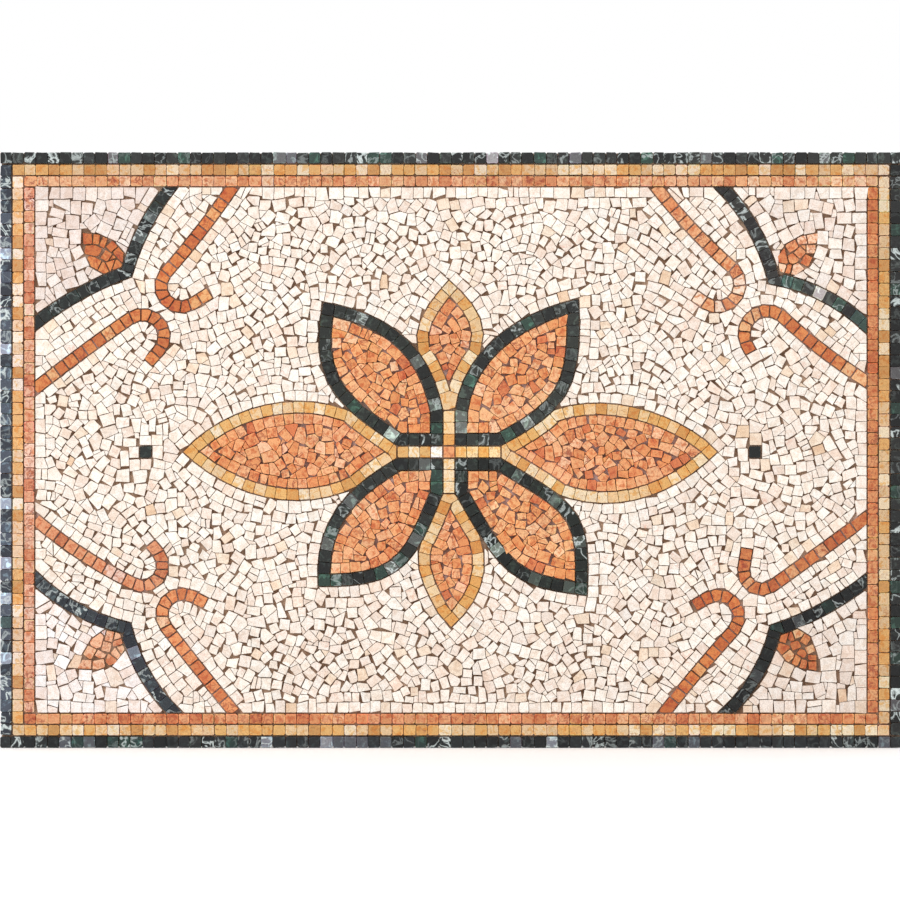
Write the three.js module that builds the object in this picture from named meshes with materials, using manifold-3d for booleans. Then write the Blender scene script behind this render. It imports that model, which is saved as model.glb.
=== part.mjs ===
// A rectangular mosaic panel of small cut marble stones on a thin mesh sheet, made to be fixed on a wall.
// Sizes are in millimetres. X is the width, Z is the height, and the picture faces -Y.
// The origin is in the middle of the flat back face.

import * as THREE from "three";
import { mergeVertices } from "three/addons/utils/BufferGeometryUtils.js";
import Module from "manifold-3d";

const wasm = await Module();
wasm.setup();

// The whole panel
const PANEL_WIDTH = 902;
const PANEL_HEIGHT = 596;
const BACKING_THICKNESS = 1.5;
const STONE_THICKNESS = 8.5;

// The joints between stones, and the adhesive that stands in the outer row's joints
const JOINT = 1.2;
const JOINT_WEB = 2;

// The three border rows, each as wide as one square stone
const OUTER_ROW = 11.4;
const MIDDLE_ROW = 10.4;
const INNER_ROW = 10;
const BORDER_PITCH = 11.8;

// The bands that draw the ornament, each one stone wide
const DARK_BAND = 11.5;
const YELLOW_BAND = 10.6;
const HOOK_BAND = 11;

// The cross in the middle, laid by hand a little off the panel's centre
const FLOWER_OFFSET = 2;
const FLOWER_CENTRE = [-FLOWER_OFFSET, -FLOWER_OFFSET];
const CROSS_STONE = 10.8;
const ARM_ACROSS = 45;
const ARM_UP = 34.5;

// The petals: a petal's reach from the cross's centre, then its points as shares of that reach
const DIAGONAL_REACH = 200;
const SIDE_REACH = 267;
const UPRIGHT_REACH = 173;

// The small dark squares that stand alone beyond the side petals' tips
const MARKER_STONE = 11.5;
const MARKER_GAP = 32;

// How far a corner's hooks reach along the field's edges
const CORNER_REACH = 200;

// The leaf inside each corner bracket, with the pull of its sides at the tip and at the foot: along the
// leaf in shares of its length, and aside in shares of how far that side bulges
const LEAF_LENGTH = 53;
const LEAF_WIDTH = 34;
const LEAF_TIP_PULL = [0.25, 1];
const LEAF_FOOT_PULL = [-0.1, 1.65];

// How finely a curve is cut: about one stone to a step, and closer in a hook's curl
const CURVE_STEP = 16;
const CURL_STEP = 9.5;

// How far a shape runs on past an edge that trims it
const TRIM_REACH = 12;

// Diagonal petals. Each side leaves the end of its straight run and arrives at the tip along two handles.
const DIAGONAL_PETALS = [
  {
    name: "petal_top_left",
    side: [-1, 1],
    tip: [0.628, 0.747],
    lower: { leave: [0.25, 0.18], arrive: [0.09, -0.44] },
    upper: { leave: [0.04, 0.195], arrive: [-0.46, -0.075] },
  },
  {
    name: "petal_top_right",
    side: [1, 1],
    tip: [0.646, 0.764],
    lower: { leave: [0.33, 0.18], arrive: [0.025, -0.465] },
    upper: { leave: [0.045, 0.32], arrive: [-0.29, -0.065] },
  },
  {
    name: "petal_bottom_left",
    side: [-1, -1],
    tip: [0.652, 0.67],
    lower: { leave: [0.25, 0.15], arrive: [0.02, -0.34] },
    upper: { leave: [0.14, 0.355], arrive: [-0.42, 0.01] },
  },
  {
    name: "petal_bottom_right",
    side: [1, -1],
    tip: [0.689, 0.716],
    lower: { leave: [0.395, 0.24], arrive: [0.021, -0.438] },
    upper: { leave: [0.23, 0.4], arrive: [-0.395, -0.045] },
  },
];

// Axial petals, drawn along their own axis. The two sides are named by where they lie in the picture:
// left and top first, then right and bottom.
const AXIAL_PETALS = [
  {
    name: "petal_left",
    along: [-1, 0],
    reach: SIDE_REACH,
    tip: [0.995, 0],
    first: { leave: [0.203, 0.255], arrive: [-0.198, 0.216] },
    second: { leave: [0.237, 0.238], arrive: [-0.227, 0.213] },
  },
  {
    name: "petal_right",
    along: [1, 0],
    reach: SIDE_REACH,
    tip: [1.004, 0],
    first: { leave: [0.252, 0.295], arrive: [-0.123, 0.142] },
    second: { leave: [0.25, 0.242], arrive: [-0.241, 0.239] },
  },
  {
    name: "petal_top",
    along: [0, 1],
    reach: UPRIGHT_REACH,
    tip: [0.99, 0],
    first: { leave: [0.336, 0.145], arrive: [-0.324, 0.3] },
    second: { leave: [0.32, 0.112], arrive: [-0.305, 0.353] },
  },
  {
    name: "petal_bottom",
    along: [0, -1],
    reach: UPRIGHT_REACH,
    tip: [1.012, -0.012],
    first: { leave: [0.35, 0.175], arrive: [-0.397, 0.237] },
    second: { leave: [0.209, 0.172], arrive: [-0.272, 0.305] },
  },
];

// Corner motifs, in shares of their reach, from the field's own corner: first along the top or bottom
// edge, then along the side. A leaf has a tip and two bulges, as shares of its width: towards the side
// edge, and towards the top or bottom edge. A hook starts on an edge, runs straight to a curl, and ends in a
// short tail.
const CORNERS = [
  {
    name: "top_left",
    side: [-1, 1],
    bracket: { point: [0.48, 0.445], ends: [0.71, 0.715], bows: [0.026, 0.023] },
    leaf: { tip: [0.237, 0.228], bulges: [0.58, 0.42] },
    hookAcross: { start: 0.985, centre: [0.73, 0.495], radius: 0.103, turn: 160, tail: 0.1, bow: -0.009 },
    hookDown: { start: 1.005, centre: [0.745, 0.535], radius: 0.109, turn: 169, tail: 0.075, bow: 0.005 },
  },
  {
    name: "top_right",
    side: [1, 1],
    bracket: { point: [0.488, 0.48], ends: [0.76, 0.73], bows: [0.039, 0.043] },
    leaf: { tip: [0.25, 0.23], bulges: [0.49, 0.42] },
    hookAcross: { start: 1.05, centre: [0.745, 0.485], radius: 0.112, turn: 168, tail: 0.06, bow: -0.014 },
    hookDown: { start: 0.97, centre: [0.732, 0.497], radius: 0.115, turn: 156, tail: 0.04, bow: -0.013 },
  },
  {
    name: "bottom_left",
    side: [-1, -1],
    bracket: { point: [0.475, 0.447], ends: [0.735, 0.71], bows: [0.038, 0.04] },
    leaf: { tip: [0.225, 0.22], bulges: [0.42, 0.58] },
    hookAcross: { start: 0.995, centre: [0.735, 0.49], radius: 0.103, turn: 156, tail: 0.075, bow: 0.003 },
    hookDown: { start: 0.965, centre: [0.735, 0.535], radius: 0.102, turn: 164, tail: 0.055, bow: 0.017 },
  },
  {
    name: "bottom_right",
    side: [1, -1],
    bracket: { point: [0.48, 0.435], ends: [0.74, 0.695], bows: [0.04, 0.025] },
    leaf: { tip: [0.25, 0.21], bulges: [0.58, 0.42] },
    hookAcross: { start: 1.01, centre: [0.745, 0.48], radius: 0.106, turn: 161, tail: 0.07, bow: -0.005 },
    hookDown: { start: 0.975, centre: [0.705, 0.525], radius: 0.09, turn: 135, tail: 0.1, bow: 0.001 },
  },
];

// Finishes, one for each kind of stone
const FINISHES = {
  darkGreen: { color: 0x2c3834, roughness: 0.45, metalness: 0 },
  yellow: { color: 0xd3a765, roughness: 0.6, metalness: 0 },
  red: { color: 0xd07c50, roughness: 0.6, metalness: 0 },
  hookRed: { color: 0xc9683a, roughness: 0.6, metalness: 0 },
  cream: { color: 0xf1e2d6, roughness: 0.65, metalness: 0 },
  backing: { color: 0xd9d5cb, roughness: 0.9, metalness: 0 },
};

// Solids: the library only joins and cuts meshes that three.js has made
function solidOf(geometry) {
  const bare = geometry.clone();
  bare.deleteAttribute("normal");
  bare.deleteAttribute("uv");
  const merged = mergeVertices(bare);
  return new wasm.Manifold(
    new wasm.Mesh({
      numProp: 3,
      vertProperties: merged.attributes.position.array,
      triVerts: new Uint32Array(merged.index.array),
    }),
  );
}

function geometryOf(solid) {
  const mesh = solid.getMesh();
  const geometry = new THREE.BufferGeometry();
  geometry.setAttribute("position", new THREE.BufferAttribute(mesh.vertProperties, 3));
  geometry.setIndex(new THREE.BufferAttribute(mesh.triVerts, 1));
  geometry.computeVertexNormals();
  return geometry;
}

// A slab with the given outline in the picture's plane, from one depth to another in front of the back face
function slab(outline, back, front) {
  const geometry = new THREE.ExtrudeGeometry(new THREE.Shape(outline), {
    depth: front - back,
    steps: 1,
    bevelEnabled: false,
  });
  geometry.translate(0, 0, back);
  geometry.rotateX(Math.PI / 2);
  return solidOf(geometry);
}

const STONE_FRONT = BACKING_THICKNESS + STONE_THICKNESS;

function joined(solids) {
  return solids.reduce((whole, solid) => whole.add(solid));
}

// Stone laid over the given outlines, kept inside the second list of outlines and cut back by the third
function laidStone(outlines, { within = [], cuts = [] } = {}) {
  let stone = joined(outlines.map((outline) => slab(outline, BACKING_THICKNESS, STONE_FRONT)));
  const throughCut = (outline) => slab(outline, BACKING_THICKNESS - JOINT_WEB, STONE_FRONT + JOINT_WEB);
  if (within.length) stone = stone.intersect(joined(within.map(throughCut)));
  if (cuts.length) stone = stone.subtract(joined(cuts.map(throughCut)));
  return stone;
}

// Outlines in the picture's plane, as lists of points
const at = (x, y) => new THREE.Vector2(x, y);

function rectangle(left, right, low, high) {
  return [at(left, low), at(right, low), at(right, high), at(left, high)];
}

// Moves a run of points sideways with mitred corners: to its left where the distance is positive
function shifted(points, distance, closed = false) {
  const last = points.length - 1;
  return points.map((point, i) => {
    const before = points[i > 0 ? i - 1 : closed ? last : 0];
    const after = points[i < last ? i + 1 : closed ? 0 : last];
    const arriving = point.clone().sub(before);
    const leaving = after.clone().sub(point);
    if (arriving.lengthSq() === 0) arriving.copy(leaving);
    if (leaving.lengthSq() === 0) leaving.copy(arriving);
    arriving.normalize();
    leaving.normalize();
    const along = arriving.clone().add(leaving).normalize();
    const mitre = distance / along.dot(arriving);
    return at(point.x - along.y * mitre, point.y + along.x * mitre);
  });
}

function grown(outline, distance) {
  const outward = THREE.ShapeUtils.isClockWise(outline) ? distance : -distance;
  return shifted(outline, outward, true);
}

// The strip beside a run of points, between two distances to its left
function strip(points, from, to) {
  return [...shifted(points, from), ...shifted(points, to).reverse()];
}

// Lets a run of points start a little earlier, along its first step
function startedEarlier(points, distance) {
  const step = points[0].clone().sub(points[1]).setLength(distance);
  return [points[0].clone().add(step), ...points.slice(1)];
}

function curvePoints(curve, step) {
  return curve.getSpacedPoints(Math.max(2, Math.round(curve.getLength() / step)));
}

// A curve that leaves its start and arrives at its end along two handles
function handleCurve(start, leave, arrive, end) {
  const curve = new THREE.CubicBezierCurve(start, start.clone().add(leave), end.clone().add(arrive), end);
  return curvePoints(curve, CURVE_STEP);
}

// A shallow bow between two points, bulging to the left of the way from start to end
function bowCurve(start, end, bow) {
  const way = end.clone().sub(start);
  const left = at(-way.y, way.x).normalize();
  const middle = start.clone().add(end).multiplyScalar(0.5);
  const control = middle.add(left.multiplyScalar(2 * bow));
  return curvePoints(new THREE.QuadraticBezierCurve(start, control, end), CURVE_STEP);
}

const group = new THREE.Group();

function addPiece(name, geometry, finish) {
  const mesh = new THREE.Mesh(geometry, new THREE.MeshStandardMaterial(FINISHES[finish]));
  mesh.name = name;
  group.add(mesh);
}

// The mesh sheet with its coat of adhesive
function addBacking() {
  const sheet = rectangle(-PANEL_WIDTH / 2, PANEL_WIDTH / 2, -PANEL_HEIGHT / 2, PANEL_HEIGHT / 2);
  addPiece("mesh_backing", geometryOf(slab(sheet, 0, BACKING_THICKNESS)), "backing");
}

// A row of square stones along X, whose joints taper down from the face to a web of adhesive
function openJointRow(length, width) {
  const count = Math.round(length / BORDER_PITCH);
  const pitch = (length + JOINT) / count;
  const profile = [at(0, 0), at(length, 0)];
  for (let i = count - 1; i >= 0; i -= 1) {
    const left = i * pitch;
    profile.push(at(left + pitch - JOINT, STONE_THICKNESS), at(left, STONE_THICKNESS));
    if (i > 0) profile.push(at(left - JOINT / 2, JOINT_WEB));
  }
  const geometry = new THREE.ExtrudeGeometry(new THREE.Shape(profile), {
    depth: width,
    steps: 1,
    bevelEnabled: false,
  });
  geometry.translate(-length / 2, 0, -width / 2);
  geometry.rotateX(Math.PI);
  return geometry;
}

// One ring of the border: its top and bottom rows run right across, and its side rows stand between them
function addBorderRing(name, inset, width, finish, openJoints) {
  const halfWidth = PANEL_WIDTH / 2 - inset;
  const halfHeight = PANEL_HEIGHT / 2 - inset;
  const sideHalfHeight = halfHeight - width - JOINT;
  for (const [end, sign] of [["top", 1], ["bottom", -1]]) {
    if (openJoints) {
      const row = openJointRow(2 * halfWidth, width);
      row.translate(0, -BACKING_THICKNESS, sign * (halfHeight - width / 2));
      addPiece(`${name}_${end}`, row, finish);
    } else {
      const near = sign * (halfHeight - width);
      const far = sign * halfHeight;
      const outline = rectangle(-halfWidth, halfWidth, Math.min(near, far), Math.max(near, far));
      addPiece(`${name}_${end}`, geometryOf(laidStone([outline])), finish);
    }
  }
  for (const [end, sign] of [["left", -1], ["right", 1]]) {
    if (openJoints) {
      const row = openJointRow(2 * sideHalfHeight, width);
      row.rotateY(Math.PI / 2);
      row.translate(sign * (halfWidth - width / 2), -BACKING_THICKNESS, 0);
      addPiece(`${name}_${end}`, row, finish);
    } else {
      const near = sign * (halfWidth - width);
      const far = sign * halfWidth;
      const outline = rectangle(Math.min(near, far), Math.max(near, far), -sideHalfHeight, sideHalfHeight);
      addPiece(`${name}_${end}`, geometryOf(laidStone([outline])), finish);
    }
  }
}

// Where each border ring starts, and where the field starts inside them
const MIDDLE_INSET = OUTER_ROW + JOINT;
const INNER_INSET = MIDDLE_INSET + MIDDLE_ROW + JOINT;
const FIELD_INSET = INNER_INSET + INNER_ROW + JOINT;
const FIELD_HALF_WIDTH = PANEL_WIDTH / 2 - FIELD_INSET;
const FIELD_HALF_HEIGHT = PANEL_HEIGHT / 2 - FIELD_INSET;
const FIELD = rectangle(-FIELD_HALF_WIDTH, FIELD_HALF_WIDTH, -FIELD_HALF_HEIGHT, FIELD_HALF_HEIGHT);

// Outlines that the field leaves free, each already one joint larger than its stone
const fieldCuts = [];

// From the flower's own centre, with the given signs for left or right and up or down, to the panel
function fromFlower(points, signX = 1, signY = 1) {
  return points.map((point) => at(FLOWER_CENTRE[0] + signX * point.x, FLOWER_CENTRE[1] + signY * point.y));
}

// The cross: one red stone, and four yellow arms
const HALF_CROSS = CROSS_STONE / 2;
const ARM_START = HALF_CROSS + JOINT;
const ARM_END_ACROSS = ARM_START + ARM_ACROSS;
const ARM_END_UP = ARM_START + ARM_UP;
const crossArms = [
  { name: "cross_arm_left", outline: rectangle(-ARM_END_ACROSS, -ARM_START, -HALF_CROSS, HALF_CROSS) },
  { name: "cross_arm_right", outline: rectangle(ARM_START, ARM_END_ACROSS, -HALF_CROSS, HALF_CROSS) },
  { name: "cross_arm_top", outline: rectangle(-HALF_CROSS, HALF_CROSS, ARM_START, ARM_END_UP) },
  { name: "cross_arm_bottom", outline: rectangle(-HALF_CROSS, HALF_CROSS, -ARM_END_UP, -ARM_START) },
];

function addCross() {
  const centre = fromFlower(rectangle(-HALF_CROSS, HALF_CROSS, -HALF_CROSS, HALF_CROSS));
  addPiece("cross_centre", geometryOf(laidStone([centre])), "red");
  fieldCuts.push(grown(centre, JOINT));
  for (const arm of crossArms) {
    const outline = fromFlower(arm.outline);
    addPiece(arm.name, geometryOf(laidStone([outline])), "yellow");
    fieldCuts.push(grown(outline, JOINT));
  }
}

// A diagonal petal's two sides, from its square corner by the cross to its tip and back
function diagonalSides(petal) {
  const scaled = ([x, y]) => at(x * DIAGONAL_REACH, y * DIAGONAL_REACH);
  const corner = at(ARM_START, ARM_START);
  const runAcross = at(ARM_END_ACROSS, ARM_START);
  const runUp = at(ARM_START, ARM_END_UP);
  const tip = scaled(petal.tip);
  const lower = handleCurve(runAcross, scaled(petal.lower.leave), scaled(petal.lower.arrive), tip);
  const upper = handleCurve(runUp, scaled(petal.upper.leave), scaled(petal.upper.arrive), tip);
  return [[corner, ...lower], [...upper.reverse(), corner]];
}

const diagonalOutlines = DIAGONAL_PETALS.map((petal) => {
  const [lower, upper] = diagonalSides(petal);
  return fromFlower([...lower, ...upper.slice(1, -1)], ...petal.side);
});

function addDiagonalPetals() {
  DIAGONAL_PETALS.forEach((petal, i) => {
    const whole = diagonalOutlines[i];
    const sides = diagonalSides(petal);
    const bands = sides.map((side) => fromFlower(strip(side, -JOINT, DARK_BAND), ...petal.side));
    const bandCuts = sides.map((side) => fromFlower(strip(side, -JOINT, DARK_BAND + JOINT), ...petal.side));
    addPiece(`${petal.name}_outline`, geometryOf(laidStone(bands, { within: [whole] })), "darkGreen");
    addPiece(`${petal.name}_fill`, geometryOf(laidStone([whole], { cuts: bandCuts })), "red");
    fieldCuts.push(grown(whole, JOINT));
  });
}

// An axial petal's two sides, from the end of the cross's arm to its tip and back, drawn along its own axis
function axialSides(petal) {
  const scaled = ([along, across]) => at(along * petal.reach, across * petal.reach);
  const armEnd = petal.along[0] === 0 ? ARM_END_UP : ARM_END_ACROSS;
  const baseAlong = armEnd + JOINT;
  const tip = scaled(petal.tip);
  const side = ({ leave, arrive }) =>
    handleCurve(at(baseAlong, HALF_CROSS), scaled(leave), scaled(arrive), at(tip.x, Math.abs(tip.y)));
  const onward = side(petal.second).map((point) => at(point.x, -point.y));
  onward[onward.length - 1] = tip;
  const back = side(petal.first).reverse();
  back[0] = tip;
  return [onward, back];
}

// From a petal's own axis to the panel: the first side stays left of or above the second in the picture
function fromPetal(points, petal) {
  const [alongX, alongY] = petal.along;
  return fromFlower(
    points.map((point) =>
      alongY === 0 ? at(alongX * point.x, point.y) : at(-point.y, alongY * point.x),
    ),
  );
}

function addAxialPetals() {
  const joints = diagonalOutlines.map((outline) => grown(outline, JOINT));
  const besideDiagonals = diagonalOutlines.map((outline) => grown(outline, JOINT + YELLOW_BAND));
  const fillCuts = diagonalOutlines.map((outline) => grown(outline, 2 * JOINT + YELLOW_BAND));
  for (const petal of AXIAL_PETALS) {
    const sides = axialSides(petal);
    const whole = fromPetal([...sides[0], ...sides[1].slice(1)], petal);
    const bands = sides.map((side) => fromPetal(strip(side, -JOINT, YELLOW_BAND), petal));
    const bandCuts = sides.map((side) => fromPetal(strip(side, -JOINT, YELLOW_BAND + JOINT), petal));
    const outline = laidStone([...bands, ...besideDiagonals], { within: [whole], cuts: joints });
    const fill = laidStone([whole], { cuts: [...bandCuts, ...fillCuts] });
    addPiece(`${petal.name}_outline`, geometryOf(outline), "yellow");
    addPiece(`${petal.name}_fill`, geometryOf(fill), "red");
    fieldCuts.push(grown(whole, JOINT));
  }
}

// The two dark squares that stand alone, each beyond a side petal's tip
function addMarkers() {
  for (const petal of AXIAL_PETALS.slice(0, 2)) {
    const centre = petal.along[0] * (petal.tip[0] * petal.reach + MARKER_GAP + MARKER_STONE / 2);
    const half = MARKER_STONE / 2;
    const outline = fromFlower(rectangle(centre - half, centre + half, -half, half));
    const side = petal.along[0] < 0 ? "left" : "right";
    addPiece(`marker_${side}`, geometryOf(laidStone([outline])), "darkGreen");
    fieldCuts.push(grown(outline, JOINT));
  }
}

// A point of a corner motif, from its shares of the reach
function cornerPoint([across, down]) {
  return at(across * CORNER_REACH, down * CORNER_REACH);
}

// From a corner of the field, with both distances measured inwards, to the panel
function fromCorner(points, corner) {
  const [signX, signY] = corner.side;
  return points.map((point) =>
    at(signX * (FIELD_HALF_WIDTH - point.x), signY * (FIELD_HALF_HEIGHT - point.y)),
  );
}

// The bracket's outer edge: from the top or bottom edge of the field to its point, and on to the side edge
function bracketSides({ point, ends, bows }) {
  const tip = cornerPoint(point);
  const across = bowCurve(cornerPoint([ends[0], 0]), tip, bows[0] * CORNER_REACH);
  const down = bowCurve(tip, cornerPoint([0, ends[1]]), bows[1] * CORNER_REACH).reverse();
  return [startedEarlier(across, TRIM_REACH), startedEarlier(down, TRIM_REACH).reverse()];
}

// The leaf's outline, from its tip to its foot in the bracket's inner corner and back
function leafOutline({ bracket, leaf }) {
  const tip = cornerPoint(leaf.tip);
  const axis = cornerPoint(bracket.point).sub(tip).setLength(LEAF_LENGTH);
  const foot = tip.clone().add(axis);
  const side = at(-axis.y, axis.x).setLength(LEAF_WIDTH);
  const half = (bulge) => {
    const pulled = ([along, aside]) =>
      axis.clone().multiplyScalar(along).addScaledVector(side, bulge * aside);
    return handleCurve(tip, pulled(LEAF_TIP_PULL), pulled(LEAF_FOOT_PULL), foot);
  };
  const [towardsSide, towardsEnd] = leaf.bulges;
  return [...half(-towardsEnd), ...half(towardsSide).reverse().slice(1, -1)];
}

// A hook's middle line: a leg that meets its curl smoothly, the curl, and the tail
function hookLine({ start, centre, radius, turn, tail, bow }) {
  const root = cornerPoint([start, 0]);
  const middle = cornerPoint(centre);
  const curlRadius = radius * CORNER_REACH;
  const toMiddle = middle.clone().sub(root);
  const legAngle = toMiddle.angle() + Math.asin(curlRadius / toMiddle.length());
  const legLength = Math.sqrt(toMiddle.lengthSq() - curlRadius * curlRadius);
  const legEnd = root.clone().add(at(legLength, 0).rotateAround(at(0, 0), legAngle));
  const leg = bowCurve(root, legEnd, bow * CORNER_REACH);
  const arcStart = legAngle + Math.PI / 2;
  const arcEnd = arcStart - THREE.MathUtils.degToRad(turn);
  const arc = new THREE.EllipseCurve(middle.x, middle.y, curlRadius, curlRadius, arcStart, arcEnd, true);
  const curl = curvePoints(arc, CURL_STEP);
  const curlEnd = curl[curl.length - 1];
  const tailEnd = curlEnd.clone().add(at(Math.sin(arcEnd), -Math.cos(arcEnd)).setLength(tail * CORNER_REACH));
  return [...startedEarlier(leg, TRIM_REACH), ...curl.slice(1), tailEnd];
}

function hookOutline(hook, downTheSide) {
  const line = hookLine(hook);
  const outline = [...shifted(line, HOOK_BAND / 2), ...shifted(line, -HOOK_BAND / 2).reverse()];
  return downTheSide ? outline.map((point) => at(point.y, point.x)) : outline;
}

function addCorner(corner) {
  const sides = bracketSides(corner.bracket);
  const edge = [...sides[0], ...sides[1].slice(1)];
  const outside = at(-TRIM_REACH, -TRIM_REACH);
  const shell = fromCorner([outside, ...edge], corner);
  const bands = sides.map((side) => fromCorner(strip(side, 0, DARK_BAND), corner));
  const bandCuts = sides.map((side) => fromCorner(strip(side, -JOINT, DARK_BAND + JOINT), corner));
  const leaf = fromCorner(leafOutline(corner), corner);
  const bracket = laidStone(bands, { within: [FIELD] });
  const corners = laidStone([FIELD], { within: [shell], cuts: [...bandCuts, grown(leaf, JOINT)] });
  addPiece(`bracket_${corner.name}`, geometryOf(bracket), "darkGreen");
  addPiece(`leaf_${corner.name}`, geometryOf(laidStone([leaf], { cuts: bandCuts })), "hookRed");
  addPiece(`field_corner_${corner.name}`, geometryOf(corners), "cream");
  fieldCuts.push(grown(shell, JOINT));
  for (const [kind, hook, downTheSide] of [
    ["across", corner.hookAcross, false],
    ["down", corner.hookDown, true],
  ]) {
    const outline = fromCorner(hookOutline(hook, downTheSide), corner);
    const stone = laidStone([outline], { within: [FIELD] });
    addPiece(`hook_${kind}_${corner.name}`, geometryOf(stone), "hookRed");
    fieldCuts.push(grown(outline, JOINT));
  }
}

addBacking();
addBorderRing("border_outer", 0, OUTER_ROW, "darkGreen", true);
addBorderRing("border_middle", MIDDLE_INSET, MIDDLE_ROW, "yellow", false);
addBorderRing("border_inner", INNER_INSET, INNER_ROW, "red", false);
addCross();
addDiagonalPetals();
addAxialPetals();
addMarkers();
CORNERS.forEach(addCorner);
addPiece("field", geometryOf(laidStone([FIELD], { cuts: fieldCuts })), "cream");

export default group;
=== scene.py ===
import math
import random

import bpy
import numpy as np
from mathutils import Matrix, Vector


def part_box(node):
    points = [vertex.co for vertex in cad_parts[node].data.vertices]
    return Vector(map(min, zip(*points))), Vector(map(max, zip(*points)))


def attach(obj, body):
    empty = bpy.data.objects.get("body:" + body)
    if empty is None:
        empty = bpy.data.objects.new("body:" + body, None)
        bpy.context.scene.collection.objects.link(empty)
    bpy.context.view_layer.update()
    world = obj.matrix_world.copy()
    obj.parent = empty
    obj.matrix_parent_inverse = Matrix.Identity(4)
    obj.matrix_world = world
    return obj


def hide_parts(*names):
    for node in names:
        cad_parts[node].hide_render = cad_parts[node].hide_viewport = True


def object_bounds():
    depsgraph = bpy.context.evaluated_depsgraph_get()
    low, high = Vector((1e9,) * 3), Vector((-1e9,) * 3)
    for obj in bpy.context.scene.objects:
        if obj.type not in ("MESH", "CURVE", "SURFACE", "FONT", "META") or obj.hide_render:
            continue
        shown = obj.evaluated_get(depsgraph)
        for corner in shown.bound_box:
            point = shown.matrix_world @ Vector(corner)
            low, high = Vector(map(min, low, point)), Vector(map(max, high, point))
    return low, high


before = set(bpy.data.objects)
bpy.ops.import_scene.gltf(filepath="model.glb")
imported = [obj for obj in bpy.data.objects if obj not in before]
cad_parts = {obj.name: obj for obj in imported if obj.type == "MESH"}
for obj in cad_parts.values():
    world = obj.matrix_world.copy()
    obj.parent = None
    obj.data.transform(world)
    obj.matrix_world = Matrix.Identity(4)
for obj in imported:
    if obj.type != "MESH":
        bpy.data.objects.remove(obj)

cad_box = [list(corner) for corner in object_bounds()]

# The panel lies in the X-Z plane, its picture faces -Y, and every length is in metres.
# An outline is a list of (x, z) points, counterclockwise as seen from the front.

FRONT = cad_box[0][1]
HALF_WIDTH = cad_box[1][0]
HALF_HEIGHT = cad_box[1][2]

# Sizes of the stones and their joints
FIELD_STONE = 0.0107
CORNER_STONE = 0.0122
FILL_STONE = 0.0104
LEAF_STONE = 0.0098
BORDER_STONE = 0.0118
BAND_STONE = 0.0114
YELLOW_STONE = 0.0106
HOOK_STONE = 0.0116
HOOK_WIDTH = 0.011
ARM_STONE = 0.0108
THIN_JOINT = 0.00035
TIGHT_JOINT = 0.0004
HOOK_JOINT = 0.0014
LEAF_JOINT = 0.0011
SPLIT_JOINT = 0.0007
SAME_CORNER = 0.0003
TOUCHING = 1e-5
SAME_PLACE = 1e-6
STRAIGHT = 1e-3

# Shapes of single stones
STONE_FOOT = -0.0016
FOOT_INSETS = (0.0003, 0.0008)
ARRIS = 0.00025
ARRIS_WIDTHS = (0.6, 1.6)
ARRIS_DEPTHS = (0.9, 1.8)
LOWEST_TOP = 0.002
RIM_WIDTH = 0.0011
NARROWEST_TOP = 0.3
RIM_STRENGTHS = (0.2, 1.6)
DENT = 0.12
DENTED_EDGE = 0.005
DENT_PLACES = (0.35, 0.65)
CHIP_SIZES = (0.3, 1.6)
MOST_CHIPPED = 0.3
TONE_SPREAD = 0.03
WARMTH_SPREAD = 0.012
PATTERN_ROOM = 9

# How each area is laid: wander, rounds, waves, share of tapered stones and share of halved stones
FIELD_LAYING = (0.2, 8, 0.35, 0.45, 0.02)
CORNER_LAYING = (0.2, 8, 0.35, 0.5, 0.03)
FILL_LAYING = (0.45, 6, 0.6, 0.45, 0.02)
LEAF_LAYING = (0.35, 6, 0.4, 0.1, 0.0)

# Laying of the irregular stones
SAMPLE_STEP = 0.0016
SHARP_CORNER = math.radians(32)
BAND_CORNER = math.radians(50)
BOW_CORNER = math.radians(25)
BOW_SIDES = 4
MOST_WALLS = 12
SEARCH_REACH = 1.6
COURSE_WOBBLE = 0.13
COURSE_TURN = 0.03
SHORTEST_COURSE = 0.6
NARROWEST_CORNER = 0.35
NARROWEST_TIP = 0.5
BAND_WOBBLE = 0.1
ROUNDNESS = 0.15
INNER_ROOM = 1.05
STONE_ROOM = 0.97
LEAST_SPACING = 0.72
FLOW_WAVES = 7
FLOW_PACES = (18, 45)
FLOW_START = 2.5
WANDER_START = 0.6
RIVAL_REACH = 2.1
PAIR_REACH = 1.3
STONE_LENGTHS = (0.92, 1.18)
AREA_REACH = 0.8
AREA_UNEVEN = 0.09
BAND_REACH = 0.95
BAND_UNEVEN = 0.03
ROW_UNEVEN = 0.03
ROW_LEAN = 0.00012
JOINT_SHARES = (0.2, 0.8)
RAGGED_EDGE = 0.00035
EVEN_EDGE = 0.00008
STONE_SPAN = 0.025
GROWN_SPAN = 0.03
WIDE_BOX = 0.04
GROWTH = 0.0034
GROWTH_STEPS = (1.0, 0.65, 0.4, 0.22, 0.1)
GROWTH_SLANTS = (0.3, 0.18, 0.09)
LONGEST_REACH = 0.0098
SMALLEST_STONE = 0.0036
WIDEST_GAP = 0.01
MARKED_REACH = 0.017
FILLER_SPAN = 0.02
FILLER_HALF = 0.0052
FILLER_REACH = 0.008
FILLER_ROOM = 0.0015
THINNEST_FILLER = 0.0031
THINNEST_HALF = 0.0040
SQUARE_SHARE = 0.75
WEDGE = 0.10
LEAST_SLANT = 0.08
STEEPEST_SLANT = 0.34
SPLIT_SLANT = 0.15
OBLONG_SHARE = 0.07
SLANTED_SHARE = 0.8


def length_of(x, y):
    return math.hypot(x, y)


def area_of(outline):
    """The area inside an outline, positive when it runs counterclockwise."""
    total = 0.0
    for (x, y), (next_x, next_y) in zip(outline, outline[1:] + outline[:1]):
        total += x * next_y - y * next_x
    return total / 2


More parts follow.
